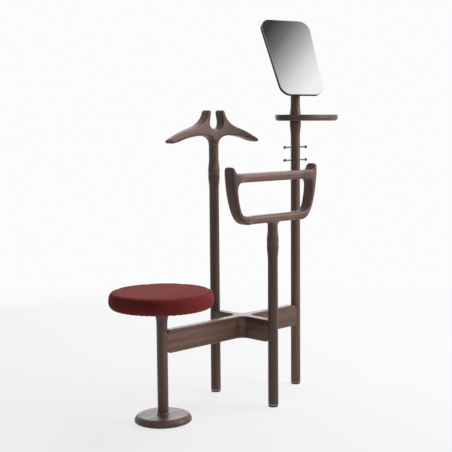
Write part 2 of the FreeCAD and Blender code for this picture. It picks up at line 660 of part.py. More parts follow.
def stem_shoulder():
    """What is carved away round the stem so that the head starts as round as the stem."""
    radius = HANGER_STEM_DIA / 2
    glue = HANGER_GLUE_LINE_Z
    flare_top = glue + SHOULDER_CURVE[-1][1]
    flare_radius = radius + SHOULDER_CURVE[-1][0]
    trumpet = turned(line((0, glue - 1), (radius, glue - 1)) + line((radius, glue - 1), (radius, glue))
                     + sweep_curve([(radius + out, glue + rise) for out, rise in SHOULDER_CURVE])
                     + line((flare_radius, flare_top), (0, flare_top)), HANGER_AXIS)
    around = rod(SHOULDER_ROOM_DIA, HANGER_AXIS + Vector(0, 0, glue - 1), flare_top - glue + 1)
    return around.cut(trumpet)


def hanger_stem():
    """Turned stem: upper half of the bulge, then straight up to the glue line."""
    base_z = HANGER_JOINT_Z + WASHER_THICKNESS / 2
    upper = bulge_curve(HANGER_JOINT_Z, HANGER_STEM_DIA, BULGE_DIA, 1)
    stem = turned(line((0, base_z), (WASHER_DIA / 2, base_z), upper[0]) + sweep_curve(upper)
                  + line(upper[-1], (HANGER_STEM_DIA / 2, HANGER_GLUE_LINE_Z), (0,
                                                                                HANGER_GLUE_LINE_Z)), HANGER_AXIS)
    return stem.cut(rod(2 * PIN_HOLE, HANGER_AXIS + Vector(0, 0, base_z), PIN_GRIP + DOWEL_END_GAP))


def dowel(centre, direction, gap=0.0):
    """A dowel centred on a glue line; with a gap it is the hole for one."""
    length = DOWEL_LENGTH + (2 * DOWEL_END_GAP if gap else 0)
    start = centre - direction * (length / 2)
    return rod(DOWEL_DIA + 2 * gap, start, length, direction)


# ---------------------------------------------------------------- trouser rack
def rack_outline():
    """Right blade of the rack in its own plane: outside from the bottom bar over the horn, and inside."""
    tip = RACK_HALF_SPAN
    outside = [(RACK_BOTTOM_BAR_HALF, RACK_BOTTOM_Z), (160, 690), (175, 702.5), (190, 726), (201, 755),
               (210, 790),
               (tip - 3.5, 827), (tip - 0.5, 860), (tip, 878), (218, 885.5), (213, RACK_TOP_Z), (208, 885.5),
               (205.5, 878), (201, 870), (192, 865.5), (RACK_TOP_BAR_HALF,
                                                        RACK_TOP_BAR_Z + RACK_TOP_BAR_HEIGHT)]
    inside = [(RACK_BOTTOM_BAR_HALF, RACK_BOTTOM_Z + RACK_BOTTOM_BAR_HEIGHT), (158, 715.5), (171, 724),
              (180, 741),
              (187, 768), (192, 800), (190.5, 820), (RACK_TOP_BAR_HALF, RACK_TOP_BAR_Z)]
    return outside, inside


def rack_upright(side):
    """One curved blade with its horn, cut square where the two bars meet it."""
    outside, inside = rack_outline()

    def place(point):
        return RACK_AXIS + Vector(side * point[0], 0, point[1])

    edges = [
        plane_curve(outside, RACK_AXIS, side),
        Part.LineSegment(place(outside[-1]), place(inside[-1])).toShape(),
        plane_curve(inside[::-1], RACK_AXIS, side),
        Part.LineSegment(place(inside[0]), place(outside[0])).toShape(),
    ]
    face = Part.Face(Part.Wire(edges))
    face.translate(Vector(0, -RACK_BLADE_DEPTH / 2, 0))
    blade = face.extrude(Vector(0, RACK_BLADE_DEPTH, 0))

    def long_edge(edge):
        box = edge.BoundBox
        return box.YLength < THIN_WITHIN and box.XLength > THIN_WITHIN

    return rounded(blade, long_edge, RACK_EDGE_ROUND).common(blade_depth_slab(side))


def blade_depth_slab(side):
    """The blade seen from its side: full depth, with the two top corners of its horn rounded."""
    half = RACK_BLADE_DEPTH / 2
    horn = RACK_HORN_ROUND
    top = RACK_TOP_Z + 1
    low = RACK_BOTTOM_Z - 1

    def place(y, z):
        return RACK_AXIS + Vector(0, y, z)

    corner = horn * (1 - math.sqrt(0.5))
    edges = [
        Part.LineSegment(place(-half, low), place(half, low)).toShape(),
        Part.LineSegment(place(half, low), place(half, top - horn)).toShape(),
        Part.Arc(place(half, top - horn), place(half - corner, top - corner), place(half - horn,
                                                                                    top)).toShape(),
        Part.LineSegment(place(half - horn, top), place(horn - half, top)).toShape(),
        Part.Arc(place(horn - half, top), place(corner - half, top - corner), place(-half,
                                                                                    top - horn)).toShape(),
        Part.LineSegment(place(-half, top - horn), place(-half, low)).toShape(),
    ]
    slab = Part.Face(Part.Wire(edges)).extrude(Vector(side * (RACK_HALF_SPAN + 10), 0, 0))
    return slab


def bar_section(x, bottom_z, height, depth, radius):
    """A rounded rectangle across a bar at a distance from the rack's axis."""
    half = depth / 2
    top_z = bottom_z + height
    corner = radius * (1 - math.sqrt(0.5))

    def place(y, z):
        return RACK_AXIS + Vector(x, y, z)

    def side(start, end):
        return Part.LineSegment(place(*start), place(*end)).toShape()

    def arc(start, middle, end):
        return Part.Arc(place(*start), place(*middle), place(*end)).toShape()

    return Part.Wire([
        side((radius - half, bottom_z), (half - radius, bottom_z)),
        arc((half - radius, bottom_z), (half - corner, bottom_z + corner), (half, bottom_z + radius)),
        side((half, bottom_z + radius), (half, top_z - radius)),
        arc((half, top_z - radius), (half - corner, top_z - corner), (half - radius, top_z)),
        side((half - radius, top_z), (radius - half, top_z)),
        arc((radius - half, top_z), (corner - half, top_z - corner), (-half, top_z - radius)),
        side((-half, top_z - radius), (-half, bottom_z + radius)),
        arc((-half, bottom_z + radius), (corner - half, bottom_z + corner), (radius - half, bottom_z)),
    ])


def rack_bar(half_length, bottom_z, height, depth):
    """A round-edged bar whose ends flare to the depth of the blades that they meet."""
    straight = half_length - RACK_BAR_FLARE
    sections = [
        bar_section(-half_length, bottom_z, height, RACK_BLADE_DEPTH, RACK_EDGE_ROUND),
        bar_section(-straight, bottom_z, height, depth, RACK_BAR_ROUND),
        bar_section(straight, bottom_z, height, depth, RACK_BAR_ROUND),
        bar_section(half_length, bottom_z, height, RACK_BLADE_DEPTH, RACK_EDGE_ROUND),
    ]
    return Part.makeLoft(sections, True, True)


def rack_bottom_bar():
    """Bottom bar with the short flared boss that grows out of it to meet the stem."""
    bar = rack_bar(RACK_BOTTOM_BAR_HALF, RACK_BOTTOM_Z, RACK_BOTTOM_BAR_HEIGHT, RACK_BOTTOM_BAR_DEPTH)
    radius = RACK_BOTTOM_BAR_DEPTH / 2
    flare = RACK_STEM_FLARE
    corner = flare * (1 - math.sqrt(0.5))
    base = RACK_STEM_TOP_Z
    boss = turned(line((0, base), (radius, base))
                  + bend((radius, base), (radius + corner, base + flare - corner), (radius + flare,
                                                                                    base + flare))
                  + line((radius + flare, base + flare), (radius + flare, base + flare + RACK_BAR_ROUND),
                         (0, base + flare + RACK_BAR_ROUND)), RACK_AXIS)
    slab = block(RACK_AXIS + Vector(-60, -radius, base), RACK_AXIS + Vector(60, radius, base + 60))
    return bar.fuse(boss.common(slab)).removeSplitter()


def rack_stem():
    """Turned stem between the rack's joint line and its bottom bar."""
    base_z = RACK_JOINT_Z + WASHER_THICKNESS / 2
    upper = bulge_curve(RACK_JOINT_Z, RACK_BOTTOM_BAR_DEPTH, RACK_BULGE_DIA, 1)
    stem = turned(line((0, base_z), (WASHER_DIA / 2, base_z), upper[0]) + sweep_curve(upper)
                  + line(upper[-1], (RACK_BOTTOM_BAR_DEPTH / 2, RACK_STEM_TOP_Z), (0,
                                                                                   RACK_STEM_TOP_Z)), RACK_AXIS)
    return stem.cut(rod(2 * PIN_HOLE, RACK_AXIS + Vector(0, 0, base_z), PIN_GRIP + DOWEL_END_GAP))


# ---------------------------------------------------------------- mirror post fittings
def peg_set():
    """Two steel rods through the post, and a ball screwed on each end."""
    rods = []
    balls = []
    for z in PEG_HEIGHTS:
        thread = PEG_BALL_REACH + PEG_BALL_DIA / 2 - PEG_THREAD_LENGTH
        rods.append(rod(PEG_ROD_DIA, MIRROR_AXIS + Vector(-thread, 0, z), 2 * thread, Vector(1, 0, 0)))
        for side in (-1, 1):
            centre = MIRROR_AXIS + Vector(side * PEG_BALL_REACH, 0, z)
            ball = Part.makeSphere(PEG_BALL_DIA / 2, centre)
            bore = rod(PEG_ROD_DIA + 2 * GLUE_GAP, MIRROR_AXIS + Vector(0, 0, z), thread + GLUE_GAP,
                       Vector(side, 0, 0))
            balls.append(ball.cut(bore))
    return rods, balls


def oval(centre, long_dia, short_dia):
    """An oval face lying flat, long across X."""
    curve = Part.Ellipse(centre, long_dia / 2, short_dia / 2)
    return Part.Face(Part.Wire(curve.toShape()))


def tray():
    """Oval tray, off centre on the post, with a rounded underside and a shallow well."""
    centre = MIRROR_AXIS + Vector(TRAY_OFFSET, 0, TRAY_UNDERSIDE_Z)
    body = oval(centre, TRAY_LONG_DIA, TRAY_SHORT_DIA).extrude(Vector(0, 0, TRAY_THICKNESS))
    body = rounded(body, lambda e: e.BoundBox.ZLength < LEVEL_WITHIN and e.BoundBox.ZMax < TRAY_TOP_Z - 1,
                   TRAY_LOWER_ROUND)
    body = rounded(body, lambda e: e.BoundBox.ZLength < LEVEL_WITHIN and e.BoundBox.ZMin > TRAY_TOP_Z - 1,
                   TRAY_TOP_ROUND)
    well_centre = MIRROR_AXIS + Vector(TRAY_WELL_OFFSET, 0, TRAY_TOP_Z - TRAY_WELL_DEPTH)
    well = oval(well_centre, TRAY_WELL_LONG_DIA, TRAY_WELL_SHORT_DIA).extrude(Vector(0, 0, TRAY_THICKNESS))
    well = rounded(well, lambda e: e.BoundBox.ZLength < LEVEL_WITHIN and e.BoundBox.ZMax < TRAY_TOP_Z,
                   TRAY_WELL_ROUND)
    hole = rod(BUSH_DIA + 2 * GLUE_GAP, MIRROR_AXIS + Vector(0, 0, TRAY_UNDERSIDE_Z), TRAY_THICKNESS)
    return body.cut(well).cut(hole)


def tray_bush():
    """Bush that lets the tray turn on the pin."""
    start = MIRROR_AXIS + Vector(0, 0, TRAY_UNDERSIDE_Z)
    outer = rod(BUSH_DIA, start, TRAY_THICKNESS)
    return outer.cut(rod(PIN_DIA + 2 * RUNNING_GAP, start, TRAY_THICKNESS))


def mirror_stem():
    """Turned stem over the tray, tapered at its top behind the mirror."""
    base = MIRROR_STEM_BASE_Z
    neck = POST_NECK_DIA / 2
    joint_z = TRAY_UNDERSIDE_Z + BULGE_CROWN / 2
    swell = [p for p in bulge_curve(joint_z, POST_NECK_DIA, BULGE_DIA, 1) if p[1] > base + 1]
    start_share = (base - joint_z - BULGE_CROWN) / (BULGE_REACH - BULGE_CROWN)
    start = neck + (BULGE_DIA - POST_NECK_DIA) / 4 * (1 + math.cos(math.pi * start_share))
    curve = [(start, base)] + swell
    top = MIRROR_STEM_TOP_DIA / 2
    edges = line((0, base), (start, base)) + sweep_curve(curve)
    edges += line(curve[-1], (neck, MIRROR_STEM_TAPER_Z))
    edges += sweep_curve([(neck, MIRROR_STEM_TAPER_Z), (neck - 1.2, MIRROR_STEM_TAPER_Z + 12),
                          (top, MIRROR_STEM_TOP_Z)])
    edges += line((top, MIRROR_STEM_TOP_Z), (0, MIRROR_STEM_TOP_Z))
    stem = turned(edges, MIRROR_AXIS)
    stem = stem.cut(rod(2 * PIN_HOLE, MIRROR_AXIS + Vector(0, 0, base), PIN_GRIP + DOWEL_END_GAP))
    stud_depth = KNUCKLE_STUD_LENGTH + DOWEL_END_GAP
    return stem.cut(rod(KNUCKLE_STUD_DIA + 2 * GLUE_GAP, MIRROR_AXIS + Vector(0, 0,
                                                                              MIRROR_STEM_TOP_Z - stud_depth),
                        stud_depth))


def in_mirror_frame(shape):
    """Move a shape drawn about the pivot (X across, Y up the glass, Z out of its face) into place."""
    placed = shape.copy()
    placed.rotate(Vector(0, 0, 0), Vector(1, 0, 0), 90 - MIRROR_LEAN_DEG)
    placed.rotate(Vector(0, 0, 0), Vector(0, 0, 1), MIRROR_TURN_DEG)
    placed.translate(MIRROR_PIVOT)
    return placed


def in_stem_frame(shape):
    """Move a shape drawn about the pivot, upright (X along the tilt axis, Z up), into place."""
    placed = shape.copy()
    placed.rotate(Vector(0, 0, 0), Vector(0, 0, 1), MIRROR_TURN_DEG)
    placed.translate(MIRROR_PIVOT)
    return placed


def knuckle():
    """Steel knuckle on the stem: a stud, a round flange and a rounded tongue with the tilt bore."""
    half = KNUCKLE_THICKNESS / 2
    drop = MIRROR_STEM_TOP_Z - MIRROR_PIVOT_Z
    tongue = block(Vector(-half, -KNUCKLE_RADIUS, drop + KNUCKLE_FLANGE_HEIGHT), Vector(half,
                                                                                        KNUCKLE_RADIUS, 0))
    eye = rod(2 * KNUCKLE_RADIUS, Vector(-half, 0, 0), KNUCKLE_THICKNESS, Vector(1, 0, 0))
    flange = rod(KNUCKLE_FLANGE_DIA, Vector(0, 0, drop), KNUCKLE_FLANGE_HEIGHT)
    stud = rod(KNUCKLE_STUD_DIA, Vector(0, 0, drop - KNUCKLE_STUD_LENGTH), KNUCKLE_STUD_LENGTH)
    body = tongue.fuse([eye, flange, stud]).removeSplitter()
    bore = rod(TILT_PIN_DIA + 2 * RUNNING_GAP, Vector(-half, 0, 0), KNUCKLE_THICKNESS, Vector(1, 0, 0))
    return in_stem_frame(body.cut(bore))


def mirror_outline(inset=0.0):
    """Face of the mirror about the pivot: wider at the top, with round corners."""
    top = MIRROR_TOP_WIDTH / 2 - inset
    bottom = MIRROR_BOTTOM_WIDTH / 2 - inset
    high = MIRROR_CENTRE_ABOVE_PIVOT + MIRROR_HEIGHT / 2 - inset
    low = MIRROR_CENTRE_ABOVE_PIVOT - MIRROR_HEIGHT / 2 + inset
    corners = [Vector(-bottom, low, 0), Vector(bottom, low, 0), Vector(top, high, 0), Vector(-top, high, 0)]
    return Part.Face(Part.makePolygon(corners + corners[:1]))


def mirror_slab(thickness, face_z, inset=0.0):
    """A slab of the mirror's outline whose front lies at face_z, its four corners rounded."""
    slab = mirror_outline(inset).extrude(Vector(0, 0, thickness))
    slab.translate(Vector(0, 0, face_z - thickness))
    return rounded(slab, lambda e: e.BoundBox.ZLength > thickness - LEVEL_WITHIN, MIRROR_CORNER - inset)


def mirror_glass():
    glass = mirror_slab(GLASS_THICKNESS, MIRROR_FACE_FROM_PIVOT)
    front = [e for e in glass.Edges if e.BoundBox.ZMin > MIRROR_FACE_FROM_PIVOT - LEVEL_WITHIN]
    return in_mirror_frame(glass.makeChamfer(GLASS_BEVEL, front))


BOARD_FRONT = MIRROR_FACE_FROM_PIVOT - GLASS_THICKNESS
BOARD_BACK = BOARD_FRONT - BACK_BOARD_THICKNESS
BRACKET_BACK = BOARD_BACK - BRACKET_THICKNESS
EAR_INNER = KNUCKLE_THICKNESS / 2 + TILT_WASHER_THICKNESS
EAR_OUTER = EAR_INNER + EAR_THICKNESS


def bracket_screw_places():
    for sx in (-1, 1):
        for sy in (-1, 1):
            yield Vector(sx * (BRACKET_WIDTH / 2 - BRACKET_SCREW_INSET),
                         sy * (BRACKET_HEIGHT / 2 - BRACKET_SCREW_INSET), 0)


def mirror_backing():
    """Backing board behind the glass, drilled for the bracket's screws."""
    board = mirror_slab(BACK_BOARD_THICKNESS, BOARD_FRONT, BACK_BOARD_INSET)
    for place in bracket_screw_places():
        board = board.cut(rod(BRACKET_SCREW_DIA + 2 * GLUE_GAP, place + Vector(0, 0, BOARD_BACK),
                              BRACKET_SCREW_REACH + SOFT_GAP))
    return in_mirror_frame(board)


def mirror_bracket():
    """Plate on the backing board with two ears that straddle the knuckle."""
    plate = block(Vector(-BRACKET_WIDTH / 2, -BRACKET_HEIGHT / 2, BRACKET_BACK),
                  Vector(BRACKET_WIDTH / 2, BRACKET_HEIGHT / 2, BOARD_BACK))
    plate = rounded(plate, lambda e: e.BoundBox.ZLength > BRACKET_THICKNESS - LEVEL_WITHIN,
                    BRACKET_SCREW_INSET)
    for side in (-1, 1):
        low = EAR_INNER if side > 0 else -EAR_OUTER
        ear = rod(2 * EAR_RADIUS, Vector(low, 0, 0), EAR_THICKNESS, Vector(1, 0, 0))
        web = block(Vector(low, -EAR_RADIUS, 0), Vector(low + EAR_THICKNESS, EAR_RADIUS, BRACKET_BACK))
        plate = plate.fuse([ear, web])
    plate = plate.removeSplitter()
    plate = plate.cut(rod(TILT_PIN_DIA + 2 * GLUE_GAP, Vector(-EAR_OUTER, 0, 0), 2 * EAR_OUTER, Vector(1,
                                                                                                       0, 0)))
    for place in bracket_screw_places():
        plate = plate.cut(rod(BRACKET_SCREW_DIA + 2 * GLUE_GAP, place + Vector(0, 0, BRACKET_BACK),
                              BRACKET_THICKNESS))
    return in_mirror_frame(plate)


def bracket_screws():
    screws = []
    for place in bracket_screw_places():
        shank = rod(BRACKET_SCREW_DIA, place + Vector(0, 0, BRACKET_BACK),
                    BRACKET_THICKNESS + BRACKET_SCREW_REACH)
        cap = rod(BRACKET_SCREW_HEAD_DIA, place + Vector(0, 0, BRACKET_BACK - BRACKET_SCREW_HEAD_HEIGHT),
                  BRACKET_SCREW_HEAD_HEIGHT)
        screws.append(in_mirror_frame(shank.fuse(cap).removeSplitter()))
    return screws


def tilt_pin():
    """Pin through ears and knuckle, with a head at one end and a knob at the other."""
    length = 2 * EAR_OUTER
    pin = rod(TILT_PIN_DIA, Vector(-EAR_OUTER, 0, 0), length, Vector(1, 0, 0))
    head = rod(TILT_HEAD_DIA, Vector(-EAR_OUTER - TILT_HEAD_LENGTH, 0, 0), TILT_HEAD_LENGTH, Vector(1, 0, 0))
    nut = rod(TILT_HEAD_DIA, Vector(EAR_OUTER, 0, 0), 2 * TILT_HEAD_LENGTH, Vector(1, 0, 0))
    return in_mirror_frame(pin.fuse([head, nut]).removeSplitter())


def tilt_washers():
    washers = []
    for start in (-EAR_INNER, KNUCKLE_THICKNESS / 2):
        ring = rod(TILT_WASHER_DIA, Vector(start, 0, 0), TILT_WASHER_THICKNESS, Vector(1, 0, 0))
        ring = ring.cut(rod(TILT_PIN_DIA + 2 * GLUE_GAP, Vector(start, 0, 0), TILT_WASHER_THICKNESS,
                            Vector(1, 0, 0)))
        washers.append(in_mirror_frame(ring))
    return washers


# ---------------------------------------------------------------- build: base
post_rows = (
    ("hanger_post", HANGER_AXIS, HANGER_JOINT_Z, BULGE_DIA),
    ("rack_post", RACK_AXIS, RACK_JOINT_Z, RACK_BULGE_DIA),
    ("mirror_post", MIRROR_AXIS, TRAY_UNDERSIDE_Z - WASHER_THICKNESS / 2, BULGE_DIA),
)
envelopes = [post_envelope(SEAT_AXIS, POST_FOOT_DIA, POST_FOOT_DIA)]
for name, axis, joint_z, crown_dia in post_rows:
    post = tall_post(axis, joint_z, crown_dia)
    for place, direction in TENON_PLACES:
        if place == axis:
            post = post.cut(tenon(place, direction, GLUE_GAP))
    if name == "mirror_post":
        for z in PEG_HEIGHTS:
            post = post.cut(rod(PEG_ROD_DIA + 2 * GLUE_GAP, MIRROR_AXIS + Vector(-BULGE_DIA, 0, z),
                                2 * BULGE_DIA,
                                Vector(1, 0, 0)))
    save(name, post)
    envelopes.append(post_envelope(axis, taper_dia(joint_z, BEAM_BOTTOM_Z - BEAM_MARGIN),
                                   taper_dia(joint_z, BEAM_TOP_Z + BEAM_MARGIN)))

save("seat_post", seat_post().cut(tenon(*TENON_PLACES[0], GLUE_GAP)))
long_beam, short_beam = beams(envelopes)
save("long_beam", long_beam)
save("short_beam", short_beam)
save("loose_tenons", *[tenon(axis, direction) for axis, direction in TENON_PLACES])
save("disc_foot", disc_foot())
save("disc_foot_pad", rod(PAD_DIA, SEAT_AXIS, PAD_THICKNESS))
foot_bolt, foot_washer = foot_fastening()
save("foot_bolt", foot_bolt)
save("foot_washer", foot_washer)

tall_axes = [row[1] for row in post_rows]
save("glides", *[glide(axis) for axis in tall_axes])
save("glide_rings", *[glide_ring(axis) for axis in tall_axes])

# ---------------------------------------------------------------- build: seat
save("seat_cushion", cushion())
board, cover, plate, bolt, screws = seat_parts()
save("seat_board", board)
save("seat_dust_cover", cover)
save("seat_plate", plate)
save("seat_bolt", bolt)
save("seat_plate_screws", *screws)

# ---------------------------------------------------------------- build: coat hanger
hanger_top_z = HANGER_JOINT_Z - WASHER_THICKNESS / 2
hanger_pin_top = HANGER_JOINT_Z + WASHER_THICKNESS / 2 + PIN_GRIP
hanger_bush, hanger_pin, hanger_washers = swivel(HANGER_AXIS, hanger_top_z, hanger_pin_top, [hanger_top_z])
save("hanger_bush", hanger_bush)
save("hanger_swivel_pin", hanger_pin)
save("hanger_washer", *hanger_washers)
up = Vector(0, 0, 1)
across = Vector(1, 0, 0)
head_dowels = [(HANGER_AXIS + Vector(side * STEM_DOWEL_OFFSET, 0, HANGER_GLUE_LINE_Z), up) for side in (-1,
                                                                                                        1)]
stem_dowels = list(head_dowels)
head_dowels.append((HANGER_AXIS + Vector(0, 0, HANGER_SLOT_Z - SEAM_DOWEL_BELOW_SLOT), across))
stem = hanger_stem()
for centre, direction in stem_dowels:
    stem = stem.cut(dowel(centre, direction, GLUE_GAP))
save("hanger_stem", stem)
for name, side in (("hanger_arm_left", -1), ("hanger_arm_right", 1)):
    half = hanger_half(side)
    for centre, direction in head_dowels:
        half = half.cut(dowel(centre, direction, GLUE_GAP))
    save(name, half)
save("hanger_dowels", *[dowel(centre, direction) for centre, direction in head_dowels])

# ---------------------------------------------------------------- build: trouser rack
rack_top_z = RACK_JOINT_Z - WASHER_THICKNESS / 2
rack_pin_top = RACK_JOINT_Z + WASHER_THICKNESS / 2 + PIN_GRIP
rack_bush, rack_pin, rack_washers = swivel(RACK_AXIS, rack_top_z, rack_pin_top, [rack_top_z])
save("rack_bush", rack_bush)
save("rack_swivel_pin", rack_pin)
save("rack_washer", *rack_washers)
bar_dowels = []
for side in (-1, 1):
    for half_length, middle_z in ((RACK_BOTTOM_BAR_HALF, RACK_BOTTOM_Z + RACK_BOTTOM_BAR_HEIGHT / 2),
                                  (RACK_TOP_BAR_HALF, RACK_TOP_BAR_Z + RACK_TOP_BAR_HEIGHT / 2)):
        for y in (-BAR_DOWEL_OFFSET, BAR_DOWEL_OFFSET):
            bar_dowels.append((RACK_AXIS + Vector(side * half_length, y, middle_z), across))
rack_stem_dowels = [(RACK_AXIS + Vector(side * STEM_DOWEL_OFFSET, 0, RACK_STEM_TOP_Z), up) for side in (-1,
                                                                                                        1)]
bottom_bar = rack_bottom_bar()
top_bar = rack_bar(RACK_TOP_BAR_HALF, RACK_TOP_BAR_Z, RACK_TOP_BAR_HEIGHT, RACK_TOP_BAR_DEPTH)
uprights = {side: rack_upright(side) for side in (-1, 1)}
for centre, direction in bar_dowels:
    hole = dowel(centre, direction, GLUE_GAP)
    bottom_bar = bottom_bar.cut(hole)
    top_bar = top_bar.cut(hole)
    side = 1 if centre.x > CROSSING_X else -1
    uprights[side] = uprights[side].cut(hole)
rack_stem_solid = rack_stem()
for centre, direction in rack_stem_dowels:
    bottom_bar = bottom_bar.cut(dowel(centre, direction, GLUE_GAP))
    rack_stem_solid = rack_stem_solid.cut(dowel(centre, direction, GLUE_GAP))
save("rack_stem", rack_stem_solid)
save("rack_bottom_bar", bottom_bar)
save("rack_top_bar", top_bar)
save("rack_upright_left", uprights[-1])
save("rack_upright_right", uprights[1])
save("rack_dowels", *[dowel(centre, direction) for centre, direction in bar_dowels + rack_stem_dowels])

# ---------------------------------------------------------------- build: mirror post
peg_rods, peg_balls = peg_set()
save("peg_rods", *peg_rods)
save("peg_balls", *peg_balls)
mirror_top_z = TRAY_UNDERSIDE_Z - WASHER_THICKNESS
mirror_pin_top = MIRROR_STEM_BASE_Z + PIN_GRIP
mirror_bush, mirror_pin, mirror_washers = swivel(MIRROR_AXIS, mirror_top_z, mirror_pin_top,
                                                 [mirror_top_z, TRAY_TOP_Z])
save("mirror_bush", mirror_bush)
save("mirror_swivel_pin", mirror_pin)
save("tray_lower_washer", mirror_washers[0])
save("tray_upper_washer", mirror_washers[1])
save("tray", tray())
save("tray_bush", tray_bush())
save("mirror_stem", mirror_stem())
save("mirror_knuckle", knuckle())
save("mirror_glass", mirror_glass())
save("mirror_backing", mirror_backing())
save("mirror_bracket", mirror_bracket())
save("bracket_screws", *bracket_screws())
save("tilt_pin", tilt_pin())
save("tilt_washers", *tilt_washers())
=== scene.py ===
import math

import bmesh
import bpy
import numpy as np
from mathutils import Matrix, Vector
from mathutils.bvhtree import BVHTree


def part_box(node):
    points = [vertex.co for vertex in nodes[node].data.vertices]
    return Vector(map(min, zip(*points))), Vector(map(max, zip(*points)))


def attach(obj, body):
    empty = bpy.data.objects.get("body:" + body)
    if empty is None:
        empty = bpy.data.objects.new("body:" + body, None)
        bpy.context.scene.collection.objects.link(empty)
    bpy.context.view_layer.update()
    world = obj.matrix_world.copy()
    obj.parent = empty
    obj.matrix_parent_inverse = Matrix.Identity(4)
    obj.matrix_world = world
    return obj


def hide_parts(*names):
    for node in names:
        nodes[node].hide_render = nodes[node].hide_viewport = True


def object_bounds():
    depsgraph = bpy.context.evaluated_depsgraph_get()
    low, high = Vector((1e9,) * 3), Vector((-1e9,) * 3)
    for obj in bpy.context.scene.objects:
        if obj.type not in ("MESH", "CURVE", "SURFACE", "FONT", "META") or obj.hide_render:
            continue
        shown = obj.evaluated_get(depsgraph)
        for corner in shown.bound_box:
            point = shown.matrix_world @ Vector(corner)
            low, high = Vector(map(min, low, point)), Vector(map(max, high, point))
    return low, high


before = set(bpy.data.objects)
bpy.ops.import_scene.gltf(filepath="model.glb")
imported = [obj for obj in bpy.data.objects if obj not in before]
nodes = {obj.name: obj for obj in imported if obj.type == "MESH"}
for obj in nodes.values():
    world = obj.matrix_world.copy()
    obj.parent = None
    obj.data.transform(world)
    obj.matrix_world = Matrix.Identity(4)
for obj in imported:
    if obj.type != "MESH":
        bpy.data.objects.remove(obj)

# %% [markdown]
# # A walnut valet stand
# The stand is a small tree of turned walnut posts on a cross of two beams. The posts carry a round
# wool-covered seat, a carved coat hanger, a carved trouser rack, a tray and a tilting mirror.
# The frame brings every hard piece at its real size, in metres, with the origin on the floor under
# the seat. This lesson gives those pieces their finishes, and makes the pieces that a drawing leaves
# plain: the upholstered seat and the hand-carved parts.

cad_low, cad_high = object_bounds()
print("stand", [round(high - low, 3) for low, high in zip(cad_low, cad_high)], "m,", len(nodes), "pieces")

# %% [markdown]
# ## The camera
# A room photographer would stand about three and a half metres away with a short telephoto lens at
# chest height. The camera is placed by where it stands, which way it looks round (yaw) and how far
# down it looks (pitch). A lens shift, as on a view camera, moves the stand to the right of the frame
# without turning the camera.

# %% Camera
CAMERA_PLACE = (-2.2502, -2.6725, 1.0535)
CAMERA_YAW = math.radians(-46.834)
CAMERA_PITCH = math.radians(5.997)
CAMERA_ROLL = math.radians(-0.174)


def place_camera():
    """Builds the camera's three axes from yaw, pitch and roll, and sets its lens and shift."""
    data = bpy.data.cameras.new("view_camera")
    data.sensor_width = 36.0
    data.lens = 80.76
    data.shift_x = -0.1183
    data.shift_y = -0.0012
    ahead = np.array([-math.sin(CAMERA_YAW) * math.cos(CAMERA_PITCH),
                      math.cos(CAMERA_YAW) * math.cos(CAMERA_PITCH), -math.sin(CAMERA_PITCH)])
    right = np.cross(ahead, [0.0, 0.0, 1.0])
    right /= np.linalg.norm(right)
    up = np.cross(right, ahead)
    matrix = np.eye(4)
    matrix[:3, 0] = right * math.cos(CAMERA_ROLL) + up * math.sin(CAMERA_ROLL)
    matrix[:3, 1] = up * math.cos(CAMERA_ROLL) - right * math.sin(CAMERA_ROLL)
    matrix[:3, 2] = -ahead
    matrix[:3, 3] = CAMERA_PLACE
    camera = bpy.data.objects.new("view_camera", data)
    bpy.context.scene.collection.objects.link(camera)
    camera.matrix_world = Matrix(matrix.tolist())
    bpy.context.scene.camera = camera
    return camera


camera = place_camera()
print("camera", [round(value, 3) for value in camera.location])

# %% [markdown]
# ## Building materials from nodes
# A finish is a small graph: where on the piece we are, what pattern lies there, and how that pattern
# changes colour, gloss and relief. Three helpers keep each graph short. `start_material` makes the
# shader, `add` makes a node and fills its sockets, and `combine` does arithmetic.

# %% Node helpers
def start_material(name, roughness=0.5, **constants):
    """An empty material with a shader; constants are written on the shader's own sockets."""
    material = bpy.data.materials.new(name)
    material.use_nodes = True
    tree = material.node_tree
    tree.nodes.clear()
    output = tree.nodes.new("ShaderNodeOutputMaterial")
    shader = tree.nodes.new("ShaderNodeBsdfPrincipled")
    shader.inputs["Roughness"].default_value = roughness
    for socket, value in constants.items():
        shader.inputs[socket.replace("_", " ")].default_value = value
    tree.links.new(shader.outputs["BSDF"], output.inputs["Surface"])
    return material, tree, shader


def fill(tree, socket, value):
    """Links the socket to another node's output, or writes a plain value on it."""
    if isinstance(value, bpy.types.NodeSocket):
        tree.links.new(value, socket)
    else:
        socket.default_value = value


def add(tree, kind, settings=None, **inputs):
    """Adds one node; settings are its menu choices and inputs its sockets by name."""
    node = tree.nodes.new("ShaderNode" + kind)
    for name, value in (settings or {}).items():
        setattr(node, name, value)
    for name, value in inputs.items():
        fill(tree, node.inputs[name.replace("_", " ")], value)
    return node


def combine(tree, operation, first, second=0.0, third=0.0):
    """One arithmetic step on up to three numbers."""
    node = tree.nodes.new("ShaderNodeMath")
    node.operation = operation
    for socket, value in zip(node.inputs, (first, second, third)):
        fill(tree, socket, value)
    return node.outputs[0]


def rescale(tree, value, from_low, from_high, to_low, to_high):
    """Carries a number from one span to another, and stops it at the ends."""
    return add(tree, "MapRange", Value=value, From_Min=from_low, From_Max=from_high,
               To_Min=to_low, To_Max=to_high).outputs[0]


def ramp(tree, value, *stops):
    """Turns a number into a colour; each stop is (place, (red, green, blue))."""
    node = add(tree, "ValToRGB", Fac=value)
    elements = node.color_ramp.elements
    while len(elements) < len(stops):
        elements.new(0.5)
    for element, (place, colour) in zip(elements, stops):
        element.position = place
        element.color = (*colour, 1.0)
    return node.outputs["Color"]


